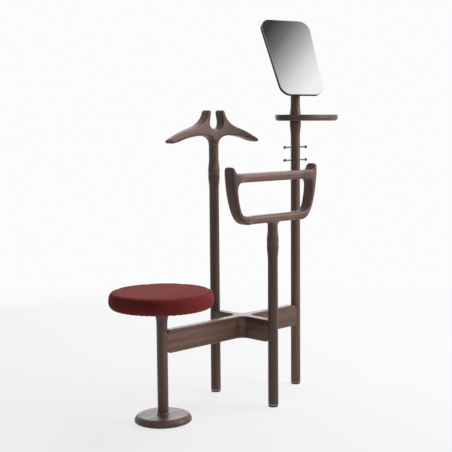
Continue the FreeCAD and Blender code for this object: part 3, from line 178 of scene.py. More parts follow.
def tint(tree, blend, amount, first, second):
    """Mixes two colours as paint layers do: MULTIPLY darkens, MIX covers."""
    node = tree.nodes.new("ShaderNodeMix")
    node.data_type = "RGBA"
    node.blend_type = blend
    fill(tree, node.inputs["Factor"], amount)
    fill(tree, node.inputs[6], first)
    fill(tree, node.inputs[7], second)
    return node.outputs[2]


def relief(tree, shader, height, depth, strength=1.0):
    """Makes the pattern stand up from the surface by depth, in metres."""
    bump = add(tree, "Bump", Height=height, Distance=depth, Strength=strength)
    tree.links.new(bump.outputs["Normal"], shader.inputs["Normal"])


def here(tree, scale, shift=(0.0, 0.0, 0.0)):
    """The place on the piece, squeezed or drawn out along each axis."""
    place = add(tree, "TexCoord").outputs["Object"]
    return add(tree, "Mapping", Vector=place, Scale=scale, Location=shift).outputs["Vector"]


def noise(tree, vector, detail=2.0, rough=0.5, distortion=0.0):
    """Cloudy noise with features about one unit apart."""
    node = add(tree, "TexNoise", Vector=vector, Scale=1.0, Detail=detail, Roughness=rough,
               Distortion=distortion)
    return node.outputs["Fac"]


print("node helpers ready")

# %% [markdown]
# ## Walnut
# Walnut is a brown, straight-grained wood with open pores: short dark dashes that always run the way
# the tree grew. A picture of wood would repeat and wrap badly round a turned post, so the wood is
# made solid instead. Everything in it is noise that is drawn out along the grain and squeezed across
# it: wide bands of tone, growth rings round a heart that lies outside the piece, fine fibres, and
# pores. Each board gets its own heart and its own tone, as boards from one pile do.

# %% Walnut
ALONG_X, ALONG_Y, ALONG_Z = 0, 1, 2
RING_AXIS = "XYZ"
WALNUT_TONES = ((0.050, 0.025, 0.020), (0.126, 0.063, 0.046), (0.236, 0.128, 0.089))


def walnut(name, grain, heart, tone=1.0):
    """Solid walnut that grew along one axis. heart is where the trunk's middle lies, in metres."""
    material, tree, shader = start_material(name, Specular_IOR_Level=0.42)

    def drawn_out(along, across, shift=0.0):
        scale = [across, across, across]
        scale[grain] = along
        return here(tree, scale, tuple(shift + heart[axis] * across for axis in range(3)))

    bands = noise(tree, drawn_out(0.8, 21.0), detail=3.0, distortion=0.5)
    streaks = noise(tree, drawn_out(1.4, 52.0, 3.0), detail=3.0, distortion=0.3)
    rings = add(tree, "TexWave", {"wave_type": "RINGS", "rings_direction": RING_AXIS[grain]},
                Vector=drawn_out(0.22, 1.0), Scale=31.0, Distortion=9.0, Detail=3.0,
                Detail_Scale=0.9, Detail_Roughness=0.6).outputs["Fac"]
    fibres = noise(tree, drawn_out(9.0, 330.0), detail=3.0, rough=0.6)
    tone_value = combine(tree, "MULTIPLY_ADD", bands, 0.56,
                         combine(tree, "MULTIPLY_ADD", streaks, 0.26,
                                 combine(tree, "MULTIPLY_ADD", rings, 0.04,
                                         combine(tree, "MULTIPLY", fibres, 0.14))))
    dark, middle, pale = (tuple(tone * part for part in colour) for colour in WALNUT_TONES)
    wood = ramp(tree, tone_value, (0.36, dark), (0.51, middle), (0.68, pale))
    pores = noise(tree, drawn_out(75.0, 1500.0), detail=1.0)
    pore_mask = rescale(tree, pores, 0.60, 0.70, 0.0, 1.0)
    wood = tint(tree, "MULTIPLY", combine(tree, "MULTIPLY", pore_mask, 0.55), wood, (0.30, 0.24, 0.22, 1.0))
    tree.links.new(wood, shader.inputs["Base Color"])
    tree.links.new(rescale(tree, streaks, 0.3, 0.7, 0.37, 0.49), shader.inputs["Roughness"])
    height = combine(tree, "SUBTRACT", combine(tree, "MULTIPLY", fibres, 0.5), pore_mask)
    relief(tree, shader, height, 0.00018, 0.55)
    return material


walnut_pieces = {
    "seat_post": (ALONG_Z, (0.31, 0.12, 0.0), 0.92),
    "hanger_post": (ALONG_Z, (0.12, 0.35, 0.7), 0.86),
    "rack_post": (ALONG_Z, (0.22, -0.28, 1.3), 0.90),
    "mirror_post": (ALONG_Z, (-0.25, 0.20, 2.1), 0.92),
    "hanger_stem": (ALONG_Z, (0.12, 0.35, 0.9), 0.84),
    "rack_stem": (ALONG_Z, (0.22, -0.28, 1.6), 0.90),
    "mirror_stem": (ALONG_Z, (-0.25, 0.20, 2.3), 0.92),
    "long_beam": (ALONG_X, (0.4, 0.11, 0.23), 1.15),
    "short_beam": (ALONG_Y, (0.15, 0.6, 0.31), 1.05),
    "disc_foot": (ALONG_X, (1.4, 0.22, 0.14), 0.95),
    "hanger_arm_left": (ALONG_X, (0.9, 0.16, -0.62), 1.02),
    "hanger_arm_right": (ALONG_X, (2.2, 0.19, -0.71), 0.92),
    "rack_bottom_bar": (ALONG_X, (1.7, 0.27, -0.41), 1.05),
    "rack_top_bar": (ALONG_X, (2.9, 0.24, -0.47), 1.05),
    "rack_upright_left": (ALONG_Z, (0.05, 0.31, 3.3), 0.92),
    "rack_upright_right": (ALONG_Z, (-0.10, 0.29, 4.1), 0.92),
    "tray": (ALONG_X, (3.3, 0.34, -0.62), 0.78),
}
walnut_finish = {piece: walnut("walnut_" + piece, *choice) for piece, choice in walnut_pieces.items()}
print(len(walnut_finish), "boards of walnut")

# %% [markdown]
# ## The other finishes
# The pegs are burnished dark metal, the fixings zinc or brass, the plates powder-coated. All of them
# are a colour with fine scratches or grain in gloss and relief. The hidden woods are beech and birch
# plywood. Each finish is one short function call, so a fixing is a line in a table.

# %% Metals, plastics and plain woods
def metal(name, colour, roughness, brush=(60.0, 60.0, 900.0)):
    """Metal with fine brush lines: the gloss wavers along them."""
    material, tree, shader = start_material(name, roughness, Metallic=1.0)
    lines = noise(tree, here(tree, brush), detail=3.0)
    patches = noise(tree, here(tree, (45.0, 45.0, 45.0)), detail=2.0)
    dull = tuple(part * 0.72 for part in colour)
    tree.links.new(ramp(tree, patches, (0.3, dull), (0.65, colour)), shader.inputs["Base Color"])
    tree.links.new(rescale(tree, lines, 0.3, 0.7, roughness * 0.75, roughness * 1.25),
                   shader.inputs["Roughness"])
    relief(tree, shader, lines, 0.00003, 0.4)
    return material


def moulded(name, colour, roughness, grain=900.0):
    """Plastic, rubber or powder coat: an even colour with a fine pebbled relief."""
    material, tree, shader = start_material(name, roughness)
    pebbles = noise(tree, here(tree, (grain, grain, grain)), detail=2.0)
    patches = noise(tree, here(tree, (30.0, 30.0, 30.0)), detail=2.0)
    worn = tuple(min(1.0, part * 1.35 + 0.01) for part in colour)
    tree.links.new(ramp(tree, patches, (0.35, colour), (0.75, worn)), shader.inputs["Base Color"])
    tree.links.new(rescale(tree, patches, 0.3, 0.7, roughness * 0.85, roughness), shader.inputs["Roughness"])
    relief(tree, shader, pebbles, 0.00006, 0.5)
    return material


def plain_wood(name, dark, pale, grain, ply=0.0):
    """A pale hidden wood; ply sets how close its glued layers lie, and 0 means solid wood."""
    material, tree, shader = start_material(name, 0.6)
    scale = [260.0, 260.0, 260.0]
    scale[grain] = 9.0
    fibres = noise(tree, here(tree, scale), detail=3.0)
    if ply:
        layers = add(tree, "TexWave", {"bands_direction": "Z"}, Vector=here(tree, (0.0, 0.0, 1.0)),
                     Scale=ply / math.tau * 0.314, Distortion=0.0).outputs["Fac"]
        fibres = combine(tree, "MULTIPLY_ADD", layers, 0.5, combine(tree, "MULTIPLY", fibres, 0.5))
    tree.links.new(ramp(tree, fibres, (0.35, dark), (0.65, pale)), shader.inputs["Base Color"])
    relief(tree, shader, fibres, 0.0001, 0.4)
    return material


gunmetal = metal("burnished_gunmetal", (0.105, 0.11, 0.12), 0.34)
zinc = metal("zinc_plate", (0.58, 0.58, 0.60), 0.36)
brass = metal("turned_brass", (0.70, 0.52, 0.24), 0.30)
nickel = metal("satin_nickel", (0.60, 0.58, 0.55), 0.28)
powder_coat = moulded("black_powder_coat", (0.022, 0.022, 0.024), 0.5)
nylon = moulded("natural_nylon", (0.24, 0.19, 0.155), 0.5)
glide_plastic = moulded("glide_plastic", (0.02, 0.02, 0.02), 0.42)
foot_rubber = moulded("foot_rubber", (0.03, 0.03, 0.03), 0.75, 500.0)
dust_cloth = moulded("dust_cloth", (0.018, 0.018, 0.02), 0.9, 1400.0)
beech = plain_wood("beech", (0.42, 0.27, 0.15), (0.60, 0.42, 0.26), ALONG_Z)
plywood = plain_wood("birch_plywood", (0.42, 0.28, 0.15), (0.62, 0.47, 0.30), ALONG_X, ply=500.0)
stained_board = plain_wood("stained_board", (0.016, 0.013, 0.012), (0.034, 0.028, 0.025), ALONG_Z)

plain_finish = {
    gunmetal: ["peg_rods", "peg_balls", "tilt_pin"],
    zinc: ["foot_bolt", "foot_washer", "seat_bolt", "seat_plate_screws", "hanger_swivel_pin",
           "rack_swivel_pin", "mirror_swivel_pin", "bracket_screws"],
    brass: ["hanger_bush", "rack_bush", "mirror_bush", "tray_bush"],
    nickel: ["glide_rings"],
    powder_coat: ["seat_plate", "mirror_bracket", "mirror_knuckle"],
    nylon: ["hanger_washer", "rack_washer", "tray_lower_washer", "tray_upper_washer", "tilt_washers"],
    glide_plastic: ["glides"],
    foot_rubber: ["disc_foot_pad"],
    dust_cloth: ["seat_dust_cover"],
    beech: ["loose_tenons", "hanger_dowels", "rack_dowels"],
    plywood: ["seat_board"],
    stained_board: ["mirror_backing"],
}
print(len(plain_finish), "other finishes")

# %% [markdown]
# ## Silvered glass
# A mirror is a coat of silver behind clear glass. One metallic surface with almost no roughness looks
# the same and costs less than real glass. Its ground edge isn't silvered, so it shows the dark grey
# of thick glass. A point belongs to the edge when it lies a little behind the front face.

# %% Mirror
def largest_face(piece):
    """The unit normal of the largest face that looks upward, and how far out along it the face lies."""
    mesh = piece.data
    count = len(mesh.polygons)
    normals, centres, areas = np.zeros(3 * count), np.zeros(3 * count), np.zeros(count)
    mesh.polygons.foreach_get("normal", normals)
    mesh.polygons.foreach_get("center", centres)
    mesh.polygons.foreach_get("area", areas)
    normals, centres = normals.reshape(-1, 3), centres.reshape(-1, 3)
    upward = normals[:, 2] > 0
    main = normals[upward][np.argmax(areas[upward])]
    return main, float(centres[upward][np.argmax(areas[upward])] @ main)


glass_normal, glass_face = largest_face(nodes["mirror_glass"])
GLASS_EDGE = 0.0004


def silvered_glass():
    """Near-perfect metal on the face, dark glass round the edge, and faint wiped smears in the gloss."""
    material, tree, shader = start_material("silvered_glass", 0.02)
    smears = noise(tree, here(tree, (14.0, 14.0, 40.0)), detail=4.0, distortion=1.2)
    silver = ramp(tree, smears, (0.3, (0.925, 0.93, 0.93)), (0.7, (0.94, 0.945, 0.945)))
    place = add(tree, "TexCoord").outputs["Object"]
    height = add(tree, "VectorMath", {"operation": "DOT_PRODUCT"}, Vector=place)
    height.inputs[1].default_value = tuple(float(part) for part in glass_normal)
    face = rescale(tree, height.outputs["Value"], glass_face - GLASS_EDGE, glass_face - GLASS_EDGE / 2,
                   0.0, 1.0)
    tree.links.new(tint(tree, "MIX", face, (0.085, 0.090, 0.089, 1.0), silver), shader.inputs["Base Color"])
    tree.links.new(face, shader.inputs["Metallic"])
    tree.links.new(rescale(tree, face, 0.0, 1.0, 0.25, 0.02), shader.inputs["Roughness"])
    return material


silver_finish = silvered_glass()
plain_finish[silver_finish] = ["mirror_glass"]
print("mirror faces", [round(float(part), 3) for part in glass_normal])

# %% [markdown]
# ## Giving each piece its finish
# The frame's pieces arrive in one grey. Their shapes stay exactly as they are, and only the material
# slot changes.

# %% Assign the finishes
def dress(piece, material):
    """Puts one material on a whole piece."""
    piece.data.materials.clear()
    piece.data.materials.append(material)


for piece, material in walnut_finish.items():
    dress(nodes[piece], material)
for material, pieces in plain_finish.items():
    for piece in pieces:
        dress(nodes[piece], material)
print("dressed", len(walnut_finish) + sum(len(pieces) for pieces in plain_finish.values()), "pieces")

# %% [markdown]
# ## The seat's cover: dense red wool
# The cover is a fine, tight upholstery wool. Close up it is a plain weave of slightly uneven yarns,
# dyed in more than one red, with a soft fuzz that glows at grazing angles. The yarns follow the
# cloth, so the pattern reads the piece's own cloth map, which is in metres.

# %% Wool
YARN = 0.0016


def wool(name, deep, bright):
    """Plain weave: two sine waves cross, and their product lifts every other crossing."""
    material, tree, shader = start_material(name, 0.9, Sheen_Weight=0.13, Sheen_Roughness=0.35,
                                            Sheen_Tint=(0.95, 0.32, 0.28, 1.0), Specular_IOR_Level=0.12)
    cloth_map = add(tree, "UVMap", {"uv_map": "cloth"}).outputs["UV"]
    wander = add(tree, "TexNoise", Vector=cloth_map, Scale=90.0, Detail=2.0).outputs["Color"]
    drift = add(tree, "VectorMath", {"operation": "SCALE"}, Vector=wander, Scale=0.0009).outputs["Vector"]
    place = add(tree, "VectorMath", {"operation": "ADD"})
    fill(tree, place.inputs[0], cloth_map)
    fill(tree, place.inputs[1], drift)
    split = add(tree, "SeparateXYZ", Vector=place.outputs["Vector"])
    warp = combine(tree, "SINE", combine(tree, "MULTIPLY", split.outputs["X"], math.pi / YARN))
    weft = combine(tree, "SINE", combine(tree, "MULTIPLY", split.outputs["Y"], math.pi / YARN))
    weave = combine(tree, "MULTIPLY_ADD", combine(tree, "MULTIPLY", warp, weft), 0.5, 0.5)
    fuzz = add(tree, "TexNoise", Vector=cloth_map, Scale=1500.0, Detail=3.0).outputs["Fac"]
    patches = add(tree, "TexNoise", Vector=cloth_map, Scale=16.0, Detail=3.0).outputs["Fac"]
    melange = add(tree, "TexNoise", Vector=cloth_map, Scale=420.0, Detail=2.0).outputs["Fac"]
    value = combine(tree, "MULTIPLY_ADD", weave, 0.22,
                    combine(tree, "MULTIPLY_ADD", melange, 0.38,
                            combine(tree, "MULTIPLY_ADD", patches, 0.28,
                                    combine(tree, "MULTIPLY", fuzz, 0.14))))
    tree.links.new(ramp(tree, value, (0.30, deep), (0.72, bright)), shader.inputs["Base Color"])
    height = combine(tree, "MULTIPLY_ADD", fuzz, 0.35, weave)
    relief(tree, shader, height, 0.0004, 0.6)
    return material


red_wool = wool("red_wool", (0.112, 0.015, 0.016), (0.290, 0.046, 0.038))
print("wool ready")

# %% [markdown]
# ## The seat cushion
# The seat is a foam disc on a plywood board, with the wool pulled over it and stapled underneath.
# A lathe profile gives the drawn shape: a slightly crowned top, a soft upper edge, a full side that
# tucks in under the board. The profile is swept round as a grid. Then the cloth itself is simulated:
# a little air pressure against the cover's own stiffness gives the fullness that foam gives.

# %% Cushion profile
seat_low, seat_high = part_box("seat_cushion")
SEAT_RADIUS = (seat_high.x - seat_low.x) / 2
SEAT_HEIGHT = seat_high.z - seat_low.z
SEAT_CROWN = 0.0015
SWELL_ROOM = 0.0008
RIM_DROOP = 0.002
RIM_RISE = 0.002
AROUND = 256
TOP_EDGE = 0.019
BOTTOM_EDGE = 0.021
EDGE_POWER = 2.4
WIDEST_SHARE = 0.47
FOAM_GIVE = 0.3


def superellipse_corner(steps, power):
    """Quarter of a rounded square from (1, 0) to (0, 1): cos and sin raised to 2/power."""
    angle = np.linspace(0.0, math.pi / 2, steps)
    return np.cos(angle) ** (2 / power), np.sin(angle) ** (2 / power)


def seat_profile():
    """Radius and height from the underside's middle, round the side, to the top's middle."""
    radius = SEAT_RADIUS - SWELL_ROOM
    widest = seat_low.z + WIDEST_SHARE * SEAT_HEIGHT
    across, up = superellipse_corner(18, EDGE_POWER)
    side_low_r = radius - BOTTOM_EDGE + BOTTOM_EDGE * across[::-1]
    side_low_z = widest - (widest - seat_low.z + RIM_DROOP) * up[::-1]
    side_high_r = radius - TOP_EDGE + TOP_EDGE * across
    top_z = seat_high.z + RIM_RISE - SEAT_CROWN
    side_high_z = widest + (top_z - widest) * up
    flat_low_r = np.linspace(0.0, side_low_r[0], 24)[:-1]
    flat_low_z = seat_low.z - RIM_DROOP * (flat_low_r / side_low_r[0]) ** 6
    flat_high_r = np.linspace(side_high_r[-1], 0.0, 28)[1:]
    flat_high_z = np.full_like(flat_high_r, top_z)
    r = np.concatenate([flat_low_r, side_low_r, side_high_r[1:], flat_high_r])
    z = np.concatenate([flat_low_z, side_low_z, side_high_z[1:], flat_high_z])
    crown = SEAT_CROWN * (1 - (r / radius) ** 2) * (z > widest)
    return r, z + crown


def lathe(name, r, z, around):
    """Sweeps a profile of radius and height once round the upright axis; both ends meet it."""
    angle = np.arange(around) * math.tau / around
    ring_r, ring_z = r[1:-1], z[1:-1]
    points = np.stack([ring_r[:, None] * np.cos(angle), ring_r[:, None] * np.sin(angle),
                       np.broadcast_to(ring_z[:, None], (len(ring_r), around))], axis=-1).reshape(-1, 3)
    points = np.vstack([points, [[0.0, 0.0, z[0]], [0.0, 0.0, z[-1]]]])
    first, last = len(points) - 2, len(points) - 1
    row = np.arange(len(ring_r) - 1)[:, None] * around
    column = np.arange(around)
    beside = (column + 1) % around
    quads = np.stack([row + column, row + beside, row + around + beside, row + around + column], axis=-1)
    top_row = (len(ring_r) - 1) * around
    low_cap = np.stack([np.full(around, first), beside, column], axis=-1)
    high_cap = np.stack([np.full(around, last), top_row + column, top_row + beside], axis=-1)
    mesh = bpy.data.meshes.new(name)
    faces = quads.reshape(-1, 4).tolist() + low_cap.tolist() + high_cap.tolist()
    mesh.from_pydata(points.tolist(), [], faces)
    mesh.update()
    piece = bpy.data.objects.new(name, mesh)
    bpy.context.scene.collection.objects.link(piece)
    return piece


cushion = lathe("seat_cover", *seat_profile(), AROUND)
print("cushion starts with", len(cushion.data.vertices), "points")


# %% [markdown]
# ### Simulating the cover
# The grid is first remeshed to even squares of about five millimetres, because a simulation needs
# threads of one length. The underside is pinned, as staples would hold it. After twenty steps of
# gentle pressure each point may have moved only a few millimetres. Firm foam behind the cloth lets it
# keep only a part of that move, and the result is made permanent.

# %% Cloth
THREAD_GRID = 0.005
COVER_PRESSURE = 4.0
SETTLING_STEPS = 20
LARGEST_MOVE = 0.006


def mesh_points(mesh):
    """All the mesh's points as one array."""
    flat = np.zeros(len(mesh.vertices) * 3)
    mesh.vertices.foreach_get("co", flat)
    return flat.reshape(-1, 3)


def apply_modifiers(piece):
    """Replaces the piece's mesh by what its modifiers make of it."""
    graph = bpy.context.evaluated_depsgraph_get()
    final = bpy.data.meshes.new_from_object(piece.evaluated_get(graph))
    piece.modifiers.clear()
    piece.data = final


def inflate(piece, pinned_below, pinned_within, cap):
    """Voxel remesh, then cloth under pressure; no point moves more than cap."""
    remesh = piece.modifiers.new("even_threads", "REMESH")
    remesh.mode = "VOXEL"
    remesh.voxel_size = THREAD_GRID
    remesh.use_smooth_shade = True
    apply_modifiers(piece)
    start = mesh_points(piece.data)
    pins = piece.vertex_groups.new(name="staples")
    held = (start[:, 2] < pinned_below) & (np.hypot(start[:, 0], start[:, 1]) < pinned_within)
    pins.add(np.flatnonzero(held).tolist(), 1.0, "REPLACE")
    cloth = piece.modifiers.new("cover", "CLOTH")
    cloth.settings.use_pressure = True
    cloth.settings.uniform_pressure_force = COVER_PRESSURE
    cloth.settings.effector_weights.gravity = 0.0
    cloth.settings.vertex_group_mass = "staples"
    cloth.settings.tension_stiffness = 15.0
    cloth.settings.bending_stiffness = 2.0
    cloth.point_cache.frame_end = SETTLING_STEPS
    for step in range(1, SETTLING_STEPS + 1):
        bpy.context.scene.frame_set(step)
    apply_modifiers(piece)
    moved = mesh_points(piece.data) - start
    length = np.linalg.norm(moved, axis=1, keepdims=True)
    settled = start + FOAM_GIVE * moved * np.minimum(1.0, cap / np.maximum(length, 1e-9))
    piece.data.vertices.foreach_set("co", settled.ravel())
    piece.vertex_groups.clear()
    bpy.context.scene.frame_set(1)
    print("cover moved up to", round(1000 * float(length.max()), 1), "mm before the cap")
    smooth = piece.modifiers.new("fine_cloth", "SUBSURF")
    smooth.levels = 1
    smooth.render_levels = 1
    apply_modifiers(piece)


inflate(cushion, seat_low.z + 0.004, SEAT_RADIUS - 0.03, LARGEST_MOVE)
print("cushion now has", len(cushion.data.polygons), "faces")

# %% [markdown]
# ### Cloth map
# The weave needs to know where on the cloth it is. The top and the underside are flat pieces, so
# their map is simply the place seen from above. The side is a band, so its map is the way round and
# the height. Each face takes the map that suits the way it looks.

# %% Cloth map and gathers
def cloth_map(piece):
    """Flat faces read (x, y); side faces read (way round, height). All in metres."""
    mesh = piece.data
    layer = mesh.uv_layers.new(name="cloth")
    points = mesh_points(mesh)
    loop_point = np.zeros(len(mesh.loops), dtype=np.int64)
    mesh.loops.foreach_get("vertex_index", loop_point)
    normal_z = np.zeros(len(mesh.polygons) * 3)
    mesh.polygons.foreach_get("normal", normal_z)
    normal_z = np.abs(normal_z.reshape(-1, 3)[:, 2])
    corners = np.zeros(len(mesh.polygons), dtype=np.int64)
    mesh.polygons.foreach_get("loop_total", corners)
    face_of_loop = np.repeat(np.arange(len(corners)), corners)
    place = points[loop_point]
    centres = np.zeros(len(mesh.polygons) * 3)
    mesh.polygons.foreach_get("center", centres)
    centre = centres.reshape(-1, 3)[face_of_loop]
    angle = np.arctan2(place[:, 1], place[:, 0])
    centre_angle = np.arctan2(centre[:, 1], centre[:, 0])
    angle = centre_angle + (angle - centre_angle + math.pi) % math.tau - math.pi
    side = np.stack([angle * SEAT_RADIUS, place[:, 2]], axis=-1)
    flat = place[:, :2]
    uv = np.where((normal_z[face_of_loop] > 0.6)[:, None], flat, side)
    layer.data.foreach_set("uv", uv.ravel())


def gather(piece, inner, outer, depth, pleats):
    """Small radial folds under the rim, where the cloth is drawn in: a sine round the circle that
    fades at both radii."""
    points = mesh_points(piece.data)
    radius = np.hypot(points[:, 0], points[:, 1])
    angle = np.arctan2(points[:, 1], points[:, 0])
    fade = np.clip((radius - inner) / 0.012, 0, 1) * np.clip((outer - radius) / 0.012, 0, 1)
    below = points[:, 2] < seat_low.z + 0.35 * SEAT_HEIGHT
    wave = np.sin(pleats * angle + 1.7 * np.sin(5 * angle) + 0.9 * np.sin(11 * angle + 1.0))
    points[:, 2] += depth * fade * below * wave
    piece.data.vertices.foreach_set("co", points.ravel())
    piece.data.update()


gather(cushion, SEAT_RADIUS - 0.045, SEAT_RADIUS - 0.006, 0.0007, 54)
cloth_map(cushion)
cushion.data.polygons.foreach_set("use_smooth", [True] * len(cushion.data.polygons))
dress(cushion, red_wool)
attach(cushion, "base")
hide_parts("seat_cushion")
print("seat covered")

# %% [markdown]
# ## Carving the hanger and the rack
# The boards of the hanger and of the rack are glued up and then shaped by hand, so one board flows
# into the next and no edge stays hard. The drawn boards are copied, made a hair larger so that they
# overlap at the glue lines, and joined on a fine grid of cubes. Then every point moves towards the
# mean of its neighbours, many times over, which rounds the edges and fills the inner corners. Near a
# swivel the wood stays almost as drawn, because it has to meet the washer. Each face keeps the walnut
# of the board it is nearest to, so the grain still turns at the joints.

# %% Helpers for carving
CARVE_GRID = 0.0017
CARVE_PASSES = 26
GLUE_OVERLAP = 0.00012
SHRINKAGE = 0.0004
SLIGHT = 0.06
WAY_TO_MEAN = 0.5


def joined_copy(name, boards):
    """One mesh from copies of the boards, each point pushed out along its normal by GLUE_OVERLAP."""
    shell = bmesh.new()
    for board in boards:
        copy = nodes[board].data.copy()
        copy.transform(nodes[board].matrix_world)
        shell.from_mesh(copy)
    bmesh.ops.remove_doubles(shell, verts=shell.verts, dist=1e-6)
    shell.normal_update()
    for point in shell.verts:
        point.co += GLUE_OVERLAP * point.normal
    mesh = bpy.data.meshes.new(name)
    shell.to_mesh(mesh)
    shell.free()
    piece = bpy.data.objects.new(name, mesh)
    bpy.context.scene.collection.objects.link(piece)
    return piece


def edge_ends(mesh):
    """Both ends of every edge, as two arrays of point numbers."""
    flat = np.zeros(len(mesh.edges) * 2, dtype=np.int32)
    mesh.edges.foreach_get("vertices", flat)
    return flat[0::2], flat[1::2]


def keep_outer_shell(mesh):
    """Deletes shells closed off inside, such as dowel holes. Points joined by edges take the lowest
    number among them until nothing changes, and the largest family stays."""
    first, second = edge_ends(mesh)
    family = np.arange(len(mesh.vertices))
    while True:
        low = np.minimum(family[first], family[second])
        lower = family.copy()
        for ends in (first, second, family[first], family[second]):
            np.minimum.at(lower, ends, low)
        lower = lower[lower]
        if np.array_equal(lower, family):
            break
        family = lower
    inner = np.flatnonzero(family != np.bincount(family).argmax())
    shell = bmesh.new()
    shell.from_mesh(mesh)
    shell.verts.ensure_lookup_table()
    bmesh.ops.delete(shell, geom=[shell.verts[index] for index in inner.tolist()], context="VERTS")
    shell.to_mesh(mesh)
    shell.free()


def relax(mesh, share, passes):
    """Each pass carries every point by its share of the way to the mean of its neighbours."""
    points = mesh_points(mesh)
    first, second = edge_ends(mesh)
    total = len(points)
    neighbours = np.bincount(np.concatenate([first, second]), minlength=total)[:, None]
    for _ in range(passes):
        around = np.stack([np.bincount(first, points[second, axis], total)
                           + np.bincount(second, points[first, axis], total) for axis in range(3)], axis=-1)
        points = points + share[:, None] * (around / neighbours - points)
    return points


def nearest_board(mesh, boards):
    """For every face, the number of the board whose drawn surface is nearest to the face's centre."""
    centres = np.zeros(len(mesh.polygons) * 3)
    mesh.polygons.foreach_get("center", centres)
    places = [Vector(centre) for centre in centres.reshape(-1, 3).tolist()]
    distances = []
    for board in boards:
        drawn = bmesh.new()
        drawn.from_mesh(nodes[board].data)
        finder = BVHTree.FromBMesh(drawn)
        distances.append([finder.find_nearest(place)[3] for place in places])
        drawn.free()
    return np.argmin(np.array(distances), axis=0)


# %% Carve
def carve(name, body, reach, *boards):
    """Joins, grids and relaxes the boards. The carving is slight at the swivel, where the first board
    begins, and grows to its full strength within reach above it. Relaxing shrinks thin parts a
    little, so the points are moved back out by SHRINKAGE."""
    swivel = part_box(boards[0])[0].z
    piece = joined_copy(name, boards)
    grid = piece.modifiers.new("grid", "REMESH")
    grid.mode = "VOXEL"
    grid.voxel_size = CARVE_GRID
    apply_modifiers(piece)
    keep_outer_shell(piece.data)
    mesh = piece.data
    strength = np.clip((mesh_points(mesh)[:, 2] - swivel) / reach, SLIGHT, 1.0)
    points = relax(mesh, WAY_TO_MEAN * strength, CARVE_PASSES)
    mesh.vertices.foreach_set("co", points.ravel())
    mesh.update()
    outward = np.zeros(len(points) * 3)
    mesh.vertices.foreach_get("normal", outward)
    points += SHRINKAGE * strength[:, None] * outward.reshape(-1, 3)
    mesh.vertices.foreach_set("co", points.ravel())
    for board in boards:
        mesh.materials.append(walnut_finish[board])
    mesh.polygons.foreach_set("material_index", nearest_board(mesh, boards).astype(np.int32))
    mesh.polygons.foreach_set("use_smooth", [True] * len(mesh.polygons))
    mesh.update()
    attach(piece, body)
    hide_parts(*boards)
    print(name, "has", len(mesh.polygons), "faces from", len(boards), "boards")
    return piece


carve("carved_hanger", "hanger_head", 0.086, "hanger_stem", "hanger_arm_left", "hanger_arm_right")
carve("carved_rack", "trouser_rack", 0.061, "rack_stem", "rack_bottom_bar", "rack_top_bar",
      "rack_upright_left", "rack_upright_right")

# %% [markdown]
# ## Floor, backdrop and light
# The stand is shown in a white studio. The floor is a wide pale disc that fades into the white
# backdrop, and it keeps the soft shadows. The light is large and soft from above and from the right,
# with a weaker glow from behind, as white studio walls give. The backdrop's white is a colour that
# the camera and reflections see; it adds no light to the stand.

# %% Floor
FLOOR_REACH = 9.0
PAPER_GLOW = 0.77
STAND_MIDDLE = ((cad_low[0] + cad_high[0]) / 2, (cad_low[1] + cad_high[1]) / 2)


def floor_disc():
    """A flat ring grid: radius grows with the square of the row, so rings are finer in the middle."""
    rows, around = 24, 96
    radius = FLOOR_REACH * np.linspace(0.02, 1.0, rows) ** 2
    angle = np.arange(around) * math.tau / around
    points = np.stack([radius[:, None] * np.cos(angle) + STAND_MIDDLE[0],
                       radius[:, None] * np.sin(angle) + STAND_MIDDLE[1],
                       np.zeros((rows, around))], axis=-1).reshape(-1, 3)
    points = np.vstack([points, [[STAND_MIDDLE[0], STAND_MIDDLE[1], 0.0]]])
    row = np.arange(rows - 1)[:, None] * around
    column, beside = np.arange(around)[None, :], (np.arange(around)[None, :] + 1) % around
    quads = np.stack([row + column, row + around + column, row + around + beside, row + beside], axis=-1)
    cap = np.stack([np.full(around, rows * around), column[0], beside[0]], axis=-1)
    mesh = bpy.data.meshes.new("studio_floor")
    mesh.from_pydata(points.tolist(), [], quads.reshape(-1, 4).tolist() + cap.tolist())
    mesh.update()
    floor = bpy.data.objects.new("studio_floor", mesh)
    bpy.context.scene.collection.objects.link(floor)
    return floor


def floor_paint():
    """Matt white paint near the stand that turns to plain backdrop white with distance."""
    material = bpy.data.materials.new("studio_floor_paint")
    material.use_nodes = True
    tree = material.node_tree
    tree.nodes.clear()
    output = tree.nodes.new("ShaderNodeOutputMaterial")
    place = here(tree, (1.0, 1.0, 1.0), (-STAND_MIDDLE[0], -STAND_MIDDLE[1], 0.0))
    reach = add(tree, "VectorMath", {"operation": "LENGTH"}, Vector=place).outputs["Value"]
    far = add(tree, "MapRange", {"interpolation_type": "SMOOTHSTEP"}, Value=reach,
              From_Min=0.6, From_Max=2.9).outputs[0]
    mottle = noise(tree, here(tree, (3.0, 3.0, 3.0)), detail=3.0)
    paint = ramp(tree, mottle, (0.3, (0.80, 0.80, 0.805)), (0.7, (0.83, 0.83, 0.833)))
    matt = add(tree, "BsdfDiffuse", Color=paint)
    white = add(tree, "Emission", Color=(0.97, 0.97, 0.972, 1.0), Strength=1.0)
    rays = add(tree, "LightPath")
    seen = combine(tree, "MAXIMUM", rays.outputs["Is Camera Ray"], rays.outputs["Is Glossy Ray"])
    seen = combine(tree, "MAXIMUM", seen, rays.outputs["Is Transmission Ray"])
    far = combine(tree, "MAXIMUM", far, PAPER_GLOW)
    amount = combine(tree, "MULTIPLY", far, seen)
    mix = tree.nodes.new("ShaderNodeMixShader")
    fill(tree, mix.inputs[0], amount)
    tree.links.new(matt.outputs[0], mix.inputs[1])
    tree.links.new(white.outputs[0], mix.inputs[2])
    tree.links.new(mix.outputs[0], output.inputs["Surface"])
    return material


floor = floor_disc()
dress(floor, floor_paint())
print("floor", FLOOR_REACH, "m")

# %% Backdrop and ambient light
AMBIENT = 0.13


